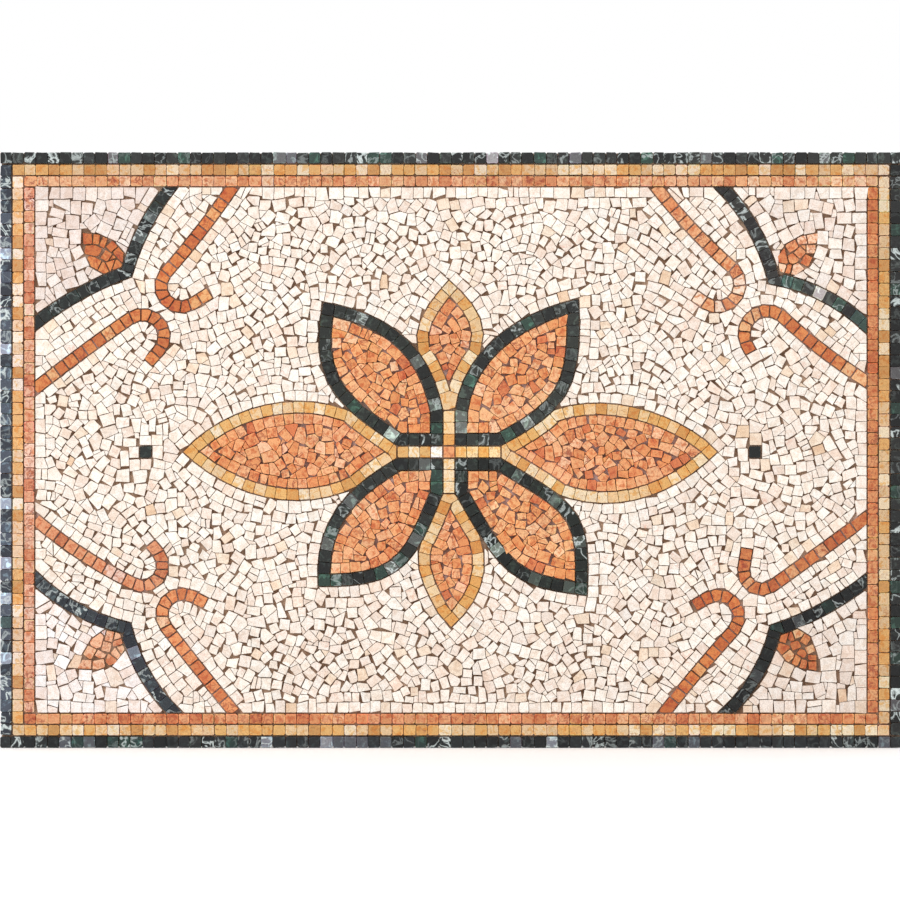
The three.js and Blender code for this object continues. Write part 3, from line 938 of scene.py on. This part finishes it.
def add_stones(name, node, outlines, rng, look):
    """One mesh of separate stones for a solid. Each stone is a closed block with broken arrises.

    Stones with a bright rim have one more ring of points, inside the rim.
    """
    chip, chipped, uneven, lean = look["wear"]
    points = []
    faces = []
    colours = []
    veins = []
    seeds = []
    ring_count = 4 if look["rim"] > 1 else 3
    for outline in outlines:
        ring = worn_outline(tidied(outline), rng, chip, chipped)
        count = len(ring)
        x, y = centre_of(ring)
        drop = abs(rng.gauss(0, uneven))
        lean_x = rng.gauss(0, lean)
        lean_y = rng.gauss(0, lean)
        foot = inset_points(ring, [rng.uniform(*FOOT_INSETS) for _ in ring])
        crown = inset_points(ring, [ARRIS * rng.uniform(*ARRIS_WIDTHS) for _ in ring])
        base = len(points)
        tops = [min(drop + lean_x * (px - x) + lean_y * (py - y), LOWEST_TOP) for px, py in crown]
        rise = min(*tops, 0.0)
        tops = [top - rise for top in tops]
        middle = drop - rise
        points += [(px, STONE_FOOT, py) for px, py in foot]
        points += [(px, FRONT + top + ARRIS * rng.uniform(*ARRIS_DEPTHS), py)
                   for (px, py), top in zip(ring, tops)]
        points += [(px, FRONT + top, py) for (px, py), top in zip(crown, tops)]
        if ring_count == 4:
            for (px, py), top in zip(crown, tops):
                share = max(1 - RIM_WIDTH / length_of(px - x, py - y), NARROWEST_TOP)
                level = FRONT + middle + (top - middle) * share
                points.append((x + (px - x) * share, level, y + (py - y) * share))
        faces.append([base + k for k in reversed(range(count))])
        faces.append([base + (ring_count - 1) * count + k for k in range(count)])
        for level in [base + ring * count for ring in range(ring_count - 1)]:
            for k in range(count):
                after = (k + 1) % count
                faces.append([level + k, level + after, level + count + after, level + count + k])
        colour = [part * share for part, share in zip(picked(look["palette"], rng), look["tint"])]
        vein = rng.random() ** look["vein_rarity"]
        seed = [rng.random() * PATTERN_ROOM for _ in range(3)]
        rim = [part * (1 + (look["rim"] - 1) * rng.uniform(*RIM_STRENGTHS)) for part in colour]
        colours += [(*rim, 1.0)] * (3 * count) + [(*colour, 1.0)] * ((ring_count - 3) * count)
        veins += [vein] * (ring_count * count)
        seeds += [seed] * (ring_count * count)
    mesh = bpy.data.meshes.new(name)
    mesh.from_pydata(points, [], faces)
    for key, kind, slot, values in (("colour", "FLOAT_COLOR", "color", colours),
                                    ("vein", "FLOAT", "value", veins),
                                    ("seed", "FLOAT_VECTOR", "vector", seeds)):
        attribute = mesh.attributes.new("stone_" + key, kind, "POINT")
        attribute.data.foreach_set(slot, np.array(values, dtype=np.float32).ravel())
    mesh.materials.append(MARBLES[look["slot"]])
    stones = placed(name, mesh)
    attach(stones, "root")
    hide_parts(node)


# Materials

class Paint:
    """A material with short ways to add its nodes. An input may be a number, a colour or a node's output."""

    def __init__(self, name):
        self.material = bpy.data.materials.new(name)
        self.material.use_nodes = True
        self.shader = self.material.node_tree.nodes["Principled BSDF"]
        self.place = self.add("TexCoord").outputs["Object"]

    def put(self, value, socket):
        if isinstance(value, bpy.types.NodeSocket):
            self.material.node_tree.links.new(value, socket)
        else:
            socket.default_value = value

    def add(self, kind, inputs=(), **settings):
        node = self.material.node_tree.nodes.new("ShaderNode" + kind)
        for key, value in settings.items():
            setattr(node, key, value)
        for key, value in inputs:
            self.put(value, node.inputs[key])
        return node

    def attribute(self, name, output):
        return self.add("Attribute", attribute_name=name).outputs[output]

    def noise(self, place, scale, detail, distortion=0.0):
        inputs = (("Vector", place), ("Scale", scale), ("Detail", detail), ("Distortion", distortion))
        return self.add("TexNoise", inputs).outputs["Fac"]

    def ramp(self, value, low, high, low_value=0.0, high_value=1.0):
        """A smooth step from one value to another."""
        inputs = (("Value", value), ("From Min", low), ("From Max", high),
                  ("To Min", low_value), ("To Max", high_value))
        return self.add("MapRange", inputs, interpolation_type="SMOOTHSTEP").outputs[0]

    def mix(self, kind, factor, first, second):
        inputs = ((0, factor), (6, first), (7, second))
        return self.add("Mix", inputs, data_type="RGBA", blend_type=kind).outputs[2]

    def maths(self, operation, first, second=0.0):
        return self.add("Math", ((0, first), (1, second)), operation=operation).outputs[0]

    def finish(self, colour, rough):
        self.put(colour, self.shader.inputs["Base Color"])
        self.put(rough, self.shader.inputs["Roughness"])
        return self.material

    def bump(self, height, strength, depth):
        node = self.add("Bump", (("Strength", strength), ("Distance", depth), ("Height", height)))
        self.put(node.outputs["Normal"], self.shader.inputs["Normal"])


NOISE_MIDDLE = (0.3, 0.7)
CLOUD_DETAIL = 6
CLOUD_SWIRL = 0.8
GRAIN_SCALE = 900
GRAIN_DETAIL = 4
PITS = (0.32, 0.62, 0.80, 1.05)
STONE_BUMP = (0.35, 0.0002)
ROUGHNESS_SPREAD = 0.2
ADHESIVE_BUMP = (0.6, 0.0005)
ADHESIVE_ROUGHNESS = (0.85, 1.0)
THIN_ADHESIVE = (128, 98, 76)
THICK_ADHESIVE = (174, 146, 124)
ADHESIVE_CLOUDS = (60, 4)
ADHESIVE_STEP = (0.35, 0.65)
GREY_TINGE = (1.05, 1.08, 1.4)
CLEAN_FIBRE = (236, 234, 228)
STAINED_FIBRE = (196, 182, 168)
FIBRE_CLOUDS = (120, 3)
FIBRE_STEP = (0.42, 0.62)
FIBRE_ROUGHNESS = 0.6


def stone_material(name, light, dark, cloud, vein_colour, line, shine, gloss):
    """Honed marble: each stone's own colour, clouded, veined and finely pitted.

    The cloud is its scale and the two noise values between which dark turns to light.
    The line is the veins' scale, width and greatest strength.
    """
    cloud_scale, *cloud_step = cloud
    line_scale, line_width, line_most = line
    paint = Paint(name)
    seed = paint.attribute("stone_seed", "Vector")
    spot = paint.add("VectorMath", ((0, paint.place), (1, seed)), operation="ADD").outputs[0]
    clouds = paint.noise(spot, cloud_scale, CLOUD_DETAIL, CLOUD_SWIRL)
    shade = paint.mix("MIX", paint.ramp(clouds, *cloud_step), (*dark, 1), (*light, 1))
    body = paint.mix("MULTIPLY", 1.0, paint.attribute("stone_colour", "Color"), shade)
    lines = paint.noise(spot, line_scale, CLOUD_DETAIL, CLOUD_SWIRL)
    away = paint.maths("ABSOLUTE", paint.maths("SUBTRACT", lines, 0.5))
    vein = paint.maths("MULTIPLY", paint.ramp(away, 0.0, line_width, 1.0, 0.0),
                       paint.attribute("stone_vein", "Fac"))
    veined = paint.mix("MIX", paint.maths("MULTIPLY", vein, line_most), body, (*linear(vein_colour), 1))
    grain = paint.noise(spot, GRAIN_SCALE, GRAIN_DETAIL)
    pits = paint.ramp(grain, *PITS)
    grey = paint.add("CombineColor", [(channel, pits) for channel in ("Red", "Green", "Blue")]).outputs[0]
    paint.put(gloss, paint.shader.inputs["Specular IOR Level"])
    paint.bump(grain, *STONE_BUMP)
    rough = paint.ramp(clouds, *NOISE_MIDDLE, shine, shine + ROUGHNESS_SPREAD)
    return paint.finish(paint.mix("MULTIPLY", 1.0, veined, grey), rough)


def adhesive_material():
    """Matt grey-brown tile adhesive in darker and paler patches."""
    paint = Paint("adhesive")
    step = paint.ramp(paint.noise(paint.place, *ADHESIVE_CLOUDS), *ADHESIVE_STEP)
    body = paint.mix("MIX", step, (*linear(THIN_ADHESIVE), 1), (*linear(THICK_ADHESIVE), 1))
    tinge = paint.mix("MIX", paint.attribute("bed_grey", "Fac"), (1, 1, 1, 1), (*GREY_TINGE, 1))
    grain = paint.noise(paint.place, GRAIN_SCALE, GRAIN_DETAIL)
    paint.bump(grain, *ADHESIVE_BUMP)
    rough = paint.ramp(grain, *NOISE_MIDDLE, *ADHESIVE_ROUGHNESS)
    return paint.finish(paint.mix("MULTIPLY", 1.0, body, tinge), rough)


def fibre_material():
    """White glass-fibre strands with adhesive dried on them."""
    paint = Paint("glass_fibre")
    step = paint.ramp(paint.noise(paint.place, *FIBRE_CLOUDS), *FIBRE_STEP)
    body = paint.mix("MIX", step, (*linear(CLEAN_FIBRE), 1), (*linear(STAINED_FIBRE), 1))
    return paint.finish(body, FIBRE_ROUGHNESS)


# The bed of adhesive and the mesh in its back. Waves are their number, longest and shortest length

BED_STEP = 0.004
BED_EDGE = 0.0012
BED_BACK = -0.0005
BED_FRONT = -0.0060
FRONT_WAVE = 0.0009
FRONT_WAVES = (24, 0.2, 0.012)
BACK_WAVE = 0.00012
BACK_WAVES = (16, 0.3, 0.02)
BAND_BED_DROP = 0.0028
STRAND_PITCH = 0.005
STRAND_STEP = 0.015
STRAND_HALF_WIDTH = 0.00045
STRAND_HALF_DEPTH = 0.0003
STRAND_LEVEL = -0.00045
STRAND_LIFT = 0.00012
STRAND_MARGIN = 0.0004
STRAND_NOISE = 0.0001
SWAY = 0.0005
SWAY_PACE = 38


def wavy(values, rng, waves, longest, shortest):
    """Soft random heights in -1 to 1 over (x, z) positions."""
    total = np.zeros(len(values))
    for _ in range(waves):
        size = 2 * math.pi / math.exp(rng.uniform(math.log(shortest), math.log(longest)))
        way = rng.uniform(0, 2 * math.pi)
        phase = rng.uniform(0, 2 * math.pi)
        total += np.sin(size * (values[:, 0] * math.cos(way) + values[:, 1] * math.sin(way)) + phase)
    return total / math.sqrt(waves)


def add_bed(rng):
    """A slab of adhesive with an uneven front that stands a few millimetres up between the stones."""
    half_x = HALF_WIDTH - BED_EDGE
    half_z = HALF_HEIGHT - BED_EDGE
    columns = round(2 * half_x / BED_STEP) + 1
    rows = round(2 * half_z / BED_STEP) + 1
    grid_x, grid_z = np.meshgrid(np.linspace(-half_x, half_x, columns), np.linspace(-half_z, half_z, rows))
    flat = np.column_stack([grid_x.ravel(), grid_z.ravel()])
    front = BED_FRONT + FRONT_WAVE * wavy(flat, rng, *FRONT_WAVES)
    grey = np.zeros(len(flat))
    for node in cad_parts:
        if node.endswith("_fill") or node.startswith("hook_"):
            grey[Region(front_loops(node)).holds(flat)] = 1.0
        elif node.startswith(("bracket_", "petal_top_left", "petal_top_right", "petal_bottom_left",
                              "petal_bottom_right", "border_outer")):
            front[Region(front_loops(node)).holds(flat)] += BAND_BED_DROP
    back = BED_BACK - BACK_WAVE * (1 + wavy(flat, rng, *BACK_WAVES))
    rim = (np.abs(flat[:, 0]) > half_x - SAME_PLACE) | (np.abs(flat[:, 1]) > half_z - SAME_PLACE)
    front[rim] = BED_FRONT
    points = np.vstack([np.column_stack([flat[:, 0], front, flat[:, 1]]),
                        np.column_stack([flat[:, 0], back, flat[:, 1]])])
    total = columns * rows
    corner = (np.arange(rows - 1)[:, None] * columns + np.arange(columns - 1)[None, :]).ravel()
    faces = np.column_stack([corner, corner + 1, corner + columns + 1, corner + columns])
    faces = np.vstack([faces, faces[:, ::-1] + total])
    edge = list(range(columns)) + [r * columns + columns - 1 for r in range(1, rows)]
    edge += [(rows - 1) * columns + c for c in range(columns - 2, -1, -1)]
    edge += [r * columns for r in range(rows - 2, 0, -1)]
    sides = [[b, a, a + total, b + total] for a, b in zip(edge, edge[1:] + edge[:1])]
    mesh = bpy.data.meshes.new("adhesive_bed")
    mesh.from_pydata(points.tolist(), [], faces.tolist() + sides)
    attribute = mesh.attributes.new("bed_grey", "FLOAT", "POINT")
    attribute.data.foreach_set("value", np.concatenate([grey, np.zeros(total)]).astype(np.float32))
    mesh.materials.append(adhesive_material())
    mesh.shade_smooth()
    return mesh


def add_strands(rng):
    """The glass-fibre strands that cross in the back, half sunk in the adhesive."""
    points = []
    faces = []
    half_x = HALF_WIDTH - STRAND_MARGIN
    half_z = HALF_HEIGHT - STRAND_MARGIN
    for upright in (True, False):
        length, reach = (half_z, half_x) if upright else (half_x, half_z)
        count = int(2 * reach / STRAND_PITCH)
        steps = round(2 * length / STRAND_STEP)
        level = STRAND_LEVEL if upright else STRAND_LEVEL + STRAND_LIFT
        for k in range(count):
            aside = (k + 0.5 - count / 2) * STRAND_PITCH
            phase = rng.uniform(0, 2 * math.pi)
            base = len(points)
            for s in range(steps + 1):
                along = -length + 2 * length * s / steps
                sway = SWAY * math.sin(along * SWAY_PACE + phase) + rng.gauss(0, STRAND_NOISE)
                for side, depth in ((-1, 0), (0, -1), (1, 0), (0, 1)):
                    u = aside + sway + side * STRAND_HALF_WIDTH
                    y = level + depth * STRAND_HALF_DEPTH
                    points.append((u, y, along) if upright else (along, y, u))
            for s in range(steps):
                for c in range(4):
                    d = (c + 1) % 4
                    a = base + 4 * s
                    quad = [a + c, a + d, a + 4 + d, a + 4 + c]
                    faces.append(quad if upright else quad[::-1])
            caps = ([base + 3, base + 2, base + 1, base], [base + 4 * steps + c for c in range(4)])
            faces += caps if upright else [cap[::-1] for cap in caps]
    mesh = bpy.data.meshes.new("glass_fibre_mesh")
    mesh.from_pydata(points, [], faces)
    mesh.materials.append(fibre_material())
    return mesh


for make, seed in ((add_bed, "bed"), (add_strands, "strands")):
    backing = make(random.Random(seed))
    piece = placed(backing.name, backing)
    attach(piece, "root")
    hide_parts("mesh_backing")

# The stones' colours, as (colour, share) pairs

CREAM = [((252, 244, 235), 6), ((249, 237, 227), 5), ((245, 229, 217), 1.6), ((243, 223, 202), 0.45),
         ((236, 206, 176), 0.05)]
RED_FILL = [((237, 178, 132), 4), ((234, 167, 114), 4), ((225, 148, 92), 2), ((210, 120, 72), 0.6),
            ((244, 196, 160), 1), ((250, 236, 222), 0.04)]
RED_BORDER = [((226, 158, 116), 3), ((219, 144, 98), 3), ((206, 122, 76), 1.2), ((233, 176, 138), 0.8)]
RED_HOOK = [((221, 122, 64), 4), ((204, 100, 46), 2.4), ((234, 160, 110), 1.4)]
YELLOW = [((236, 204, 156), 3), ((230, 180, 106), 2), ((244, 226, 192), 3), ((216, 158, 84), 1)]
YELLOW_BORDER = [((226, 196, 152), 3), ((224, 176, 106), 2.4), ((240, 224, 192), 2), ((204, 152, 86), 1.4)]
DARK = [((38, 44, 42), 5), ((28, 32, 32), 3.5), ((42, 64, 57), 1.2), ((84, 94, 92), 1),
        ((138, 150, 148), 0.35)]
DARK_ROW = [((43, 48, 46), 5), ((30, 34, 33), 4), ((44, 66, 58), 1), ((90, 97, 97), 1.2),
            ((140, 148, 148), 0.3)]
DARK_LEFT = [((76, 84, 91), 4), ((50, 55, 60), 3), ((64, 82, 78), 0.8), ((150, 160, 168), 1.3)]

MARBLES = {
    "cream_marble": stone_material("cream_marble", (0.9, 0.9, 0.9), (0.80, 0.74, 0.69), (130, 0.34, 0.60),
                                   (206, 140, 116), (90, 0.014, 0.6), 0.42, 0.5),
    "red_marble": stone_material("red_marble", (0.93, 0.93, 0.95), (0.70, 0.40, 0.25), (210, 0.33, 0.56),
                                 (132, 48, 26), (120, 0.042, 0.9), 0.38, 0.5),
    "yellow_marble": stone_material("yellow_marble", (0.86, 0.86, 0.89), (0.80, 0.60, 0.34),
                                    (190, 0.36, 0.52), (150, 92, 48), (120, 0.024, 0.75), 0.4, 0.5),
    "dark_green_marble": stone_material("dark_green_marble", (0.88, 0.88, 0.88), (2.0, 2.35, 2.2),
                                        (150, 0.33, 0.48), (204, 214, 212), (70, 0.045, 0.95), 0.36, 0.25)}

# Wear: the size and share of knocked-off corners, and how unevenly the stones stand and lean
CREAM_WEAR = (0.0009, 0.35, 0.00025, 0.02)
FILL_WEAR = (0.0010, 0.5, 0.00025, 0.02)
HOOK_WEAR = (0.0009, 0.7, 0.00015, 0.012)
YELLOW_WEAR = (0.0008, 0.7, 0.00015, 0.01)
DARK_WEAR = (0.0007, 0.7, 0.00015, 0.01)
ROW_WEAR = (0.0011, 0.9, 0.00012, 0.008)
FILL_TINT = (0.92, 0.88, 0.80)


def look_of(slot, palette, wear, vein_rarity, rim, tint=(1, 1, 1)):
    """How one kind of stone looks. The rim is how much brighter it is along its edges."""
    return {"slot": slot, "palette": palette, "wear": wear, "vein_rarity": vein_rarity, "rim": rim,
            "tint": tint}


cream_look = look_of("cream_marble", CREAM, CREAM_WEAR, 2, 1.0)
red_look = look_of("red_marble", RED_FILL, FILL_WEAR, 2, 1.16, FILL_TINT)
leaf_look = look_of("red_marble", RED_HOOK, HOOK_WEAR, 2, 1.1)
red_row_look = look_of("red_marble", RED_BORDER, ROW_WEAR, 0.9, 1.3)
yellow_look = look_of("yellow_marble", YELLOW, YELLOW_WEAR, 2.5, 1.08)
yellow_row_look = look_of("yellow_marble", YELLOW_BORDER, ROW_WEAR, 1.4, 1.15)
dark_look = look_of("dark_green_marble", DARK, DARK_WEAR, 5, 1.15)
veined_look = look_of("dark_green_marble", DARK, DARK_WEAR, 2.5, 1.3)
dark_row_look = look_of("dark_green_marble", DARK_ROW, ROW_WEAR, 3.5, 1.2)
dark_left_look = look_of("dark_green_marble", DARK_LEFT, ROW_WEAR, 1.2, 1.15)

CORNERS = ("top_left", "top_right", "bottom_left", "bottom_right")
SIDES = ("top", "bottom", "left", "right")


def tints_of(name, places, *tints):
    """A tint for each of the parts whose names have one of the places for the star."""
    return {name.replace("*", place): tint for place, tint in zip(places, tints)}


# How the colours of single parts differ from the rest of their kind
TINTS = {
    "field": (0.96, 0.96, 0.95), "cross_centre": (0.88, 0.7, 0.52),
    **tints_of("border_outer_*", SIDES, (1.28, 1.08, 1.12), (0.8, 0.73, 0.85), (0.99, 0.94, 1.06),
               (0.9, 0.74, 0.77)),
    **tints_of("border_middle_*", SIDES, (0.85, 0.78, 0.75), (0.96, 0.94, 0.91), (0.99, 0.95, 1.08),
               (0.85, 0.79, 0.73)),
    **tints_of("border_inner_*", SIDES, (0.91, 1.13, 1.19), (0.88, 0.89, 0.77), (0.92, 1.13, 1.45),
               (0.81, 0.76, 0.56)),
    **tints_of("cross_arm_*", SIDES, (0.97, 0.8, 0.6), (1.02, 1.1, 1.25), (1.03, 1.2, 1.55),
               (1.05, 0.93, 0.68)),
    **tints_of("petal_*_outline", SIDES, (0.88, 0.83, 0.77), (0.89, 0.77, 0.62), (0.92, 0.9, 0.9),
               (0.92, 0.87, 0.81)),
    **tints_of("petal_*_outline", CORNERS, (1.1, 0.95, 0.9), (1.6, 1.36, 1.3), (1.1, 0.93, 0.92),
               (0.68, 0.66, 0.59)),
    **tints_of("petal_*_fill", CORNERS, (0.94, 0.92, 0.8), (0.95, 0.96, 0.88), FILL_TINT,
               (0.95, 0.95, 0.82)),
    **tints_of("petal_*_fill", ("top",), (0.88, 0.83, 0.76)),
    **tints_of("leaf_*", CORNERS, (0.83, 1.04, 0.98), (1.02, 1.6, 2.45), (1.05, 2.2, 5.0),
               (0.84, 1.17, 1.36)),
    **tints_of("hook_across_*", CORNERS, (0.87, 1.03, 0.88), (1.03, 1.85, 3.2), (0.97, 1.42, 1.95),
               (0.86, 1.0, 0.85)),
    **tints_of("hook_down_*", CORNERS, (0.84, 1.07, 1.05), (0.88, 1.14, 1.2), (0.92, 1.46, 2.6),
               (0.78, 0.92, 0.93)),
    **tints_of("bracket_*", CORNERS, (0.87, 0.78, 0.8), (1.85, 1.36, 1.4), (1.75, 1.6, 2.05),
               (0.53, 0.44, 0.48)),
    **tints_of("field_corner_*", CORNERS, (0.83, 0.8, 0.81), (0.91, 0.90, 0.90), (0.95, 0.97, 1.03),
               (0.87, 0.85, 0.84))}


def lay(node, cells, rng, look):
    add_stones(node + "_stones", node, cells, rng, {**look, "tint": TINTS.get(node, look["tint"])})


def lay_border():
    for side in SIDES:
        for ring, look in (("outer", dark_row_look), ("middle", yellow_row_look), ("inner", red_row_look)):
            node = "border_" + ring + "_" + side
            rng = random.Random(node)
            if node == "border_outer_left":
                look = dark_left_look
            ragged = (EVEN_EDGE, EVEN_EDGE)
            if ring == "outer":
                ragged = (EVEN_EDGE, RAGGED_EDGE) if side in ("top", "right") else (RAGGED_EDGE, EVEN_EDGE)
            lay(node, row_cells(node, BORDER_STONE, rng, ragged), rng, look)


def lay_petal(node, stone, look):
    """A petal's outline and fill, and the random numbers left for its arm."""
    rng = random.Random(node)
    lay(node + "_outline", ring_band(node + "_outline", stone, rng), rng, look)
    lay(node + "_fill", laid_area(node + "_fill", FILL_STONE, rng, *FILL_LAYING), rng, red_look)
    return rng


def lay_flower():
    for corner in CORNERS:
        lay_petal("petal_" + corner, BAND_STONE, dark_look)
    for side in SIDES:
        rng = lay_petal("petal_" + side, YELLOW_STONE, yellow_look)
        arm = "cross_arm_" + side
        lay(arm, row_cells(arm, ARM_STONE, rng, (EVEN_EDGE, EVEN_EDGE)), rng, yellow_look)
    lay("cross_centre", single_cell("cross_centre"), random.Random("cross"), red_look)
    for side in ("left", "right"):
        node = "marker_" + side
        lay(node, single_cell(node), random.Random(node), dark_look)


def lay_corners():
    for corner in CORNERS:
        rng = random.Random(corner)
        node = "bracket_" + corner
        look = dark_look if corner == "bottom_right" else veined_look
        lay(node, bow_band(node, BAND_STONE, rng), rng, look)
        for way in ("across", "down"):
            node = "hook_" + way + "_" + corner
            lay(node, hook_band(node, HOOK_STONE, rng), rng, leaf_look)
        node = "leaf_" + corner
        lay(node, laid_area(node, LEAF_STONE, rng, *LEAF_LAYING, LEAF_JOINT), rng, leaf_look)
        node = "field_corner_" + corner
        lay(node, laid_area(node, CORNER_STONE, rng, *CORNER_LAYING), rng, cream_look)


def lay_field():
    rng = random.Random("field")
    lay("field", laid_area("field", FIELD_STONE, rng, *FIELD_LAYING), rng, cream_look)


lay_border()
lay_flower()
lay_corners()
lay_field()

# Floor, light and camera

FLOOR_HALF = 6.0
FLOOR_CLOUDS = (3, 2)
FLOOR_TONES = (0.9, 0.93)
FLOOR_ROUGHNESS = 0.9
LAMP_PLACE = (-3.6, -4.4, 3.8)
LAMP_SIZE = 2.4
LAMP_POWER = 215
CAMERA_DISTANCE = 4.5
SEEN_WIDTH = 0.9
SENSOR_WIDTH = 36.0
CAMERA_X = -0.001


def add_floor():
    points = [(-FLOOR_HALF, -FLOOR_HALF, -HALF_HEIGHT), (FLOOR_HALF, -FLOOR_HALF, -HALF_HEIGHT),
              (FLOOR_HALF, FLOOR_HALF, -HALF_HEIGHT), (-FLOOR_HALF, FLOOR_HALF, -HALF_HEIGHT)]
    mesh = bpy.data.meshes.new("floor")
    mesh.from_pydata(points, [], [[0, 1, 2, 3]])
    paint = Paint("floor")
    tone = paint.ramp(paint.noise(paint.place, *FLOOR_CLOUDS), *NOISE_MIDDLE, *FLOOR_TONES)
    mesh.materials.append(paint.finish(tone, FLOOR_ROUGHNESS))
    placed("floor", mesh)


def add_light():
    lamp = bpy.data.lights.new("key", "AREA")
    lamp.shape = "DISK"
    lamp.size = LAMP_SIZE
    lamp.energy = LAMP_POWER
    holder = placed("key", lamp)
    holder.location = LAMP_PLACE
    holder.rotation_euler = (-Vector(LAMP_PLACE)).to_track_quat("-Z", "Y").to_euler()


add_floor()
add_light()
world = bpy.data.worlds.new("studio")
world.use_nodes = True
world.node_tree.nodes["Background"].inputs["Color"].default_value = (1, 1, 1, 1)
world.node_tree.nodes["Background"].inputs["Strength"].default_value = 1.0
bpy.context.scene.world = world
bpy.context.scene.view_settings.view_transform = "Standard"

camera_data = bpy.data.cameras.new("camera")
camera_data.sensor_width = SENSOR_WIDTH
camera_data.lens = SENSOR_WIDTH * (CAMERA_DISTANCE + FRONT) / SEEN_WIDTH
camera = placed("camera", camera_data)
camera.location = (CAMERA_X, -CAMERA_DISTANCE, 0)
camera.rotation_euler = (math.pi / 2, 0, 0)
bpy.context.scene.camera = camera
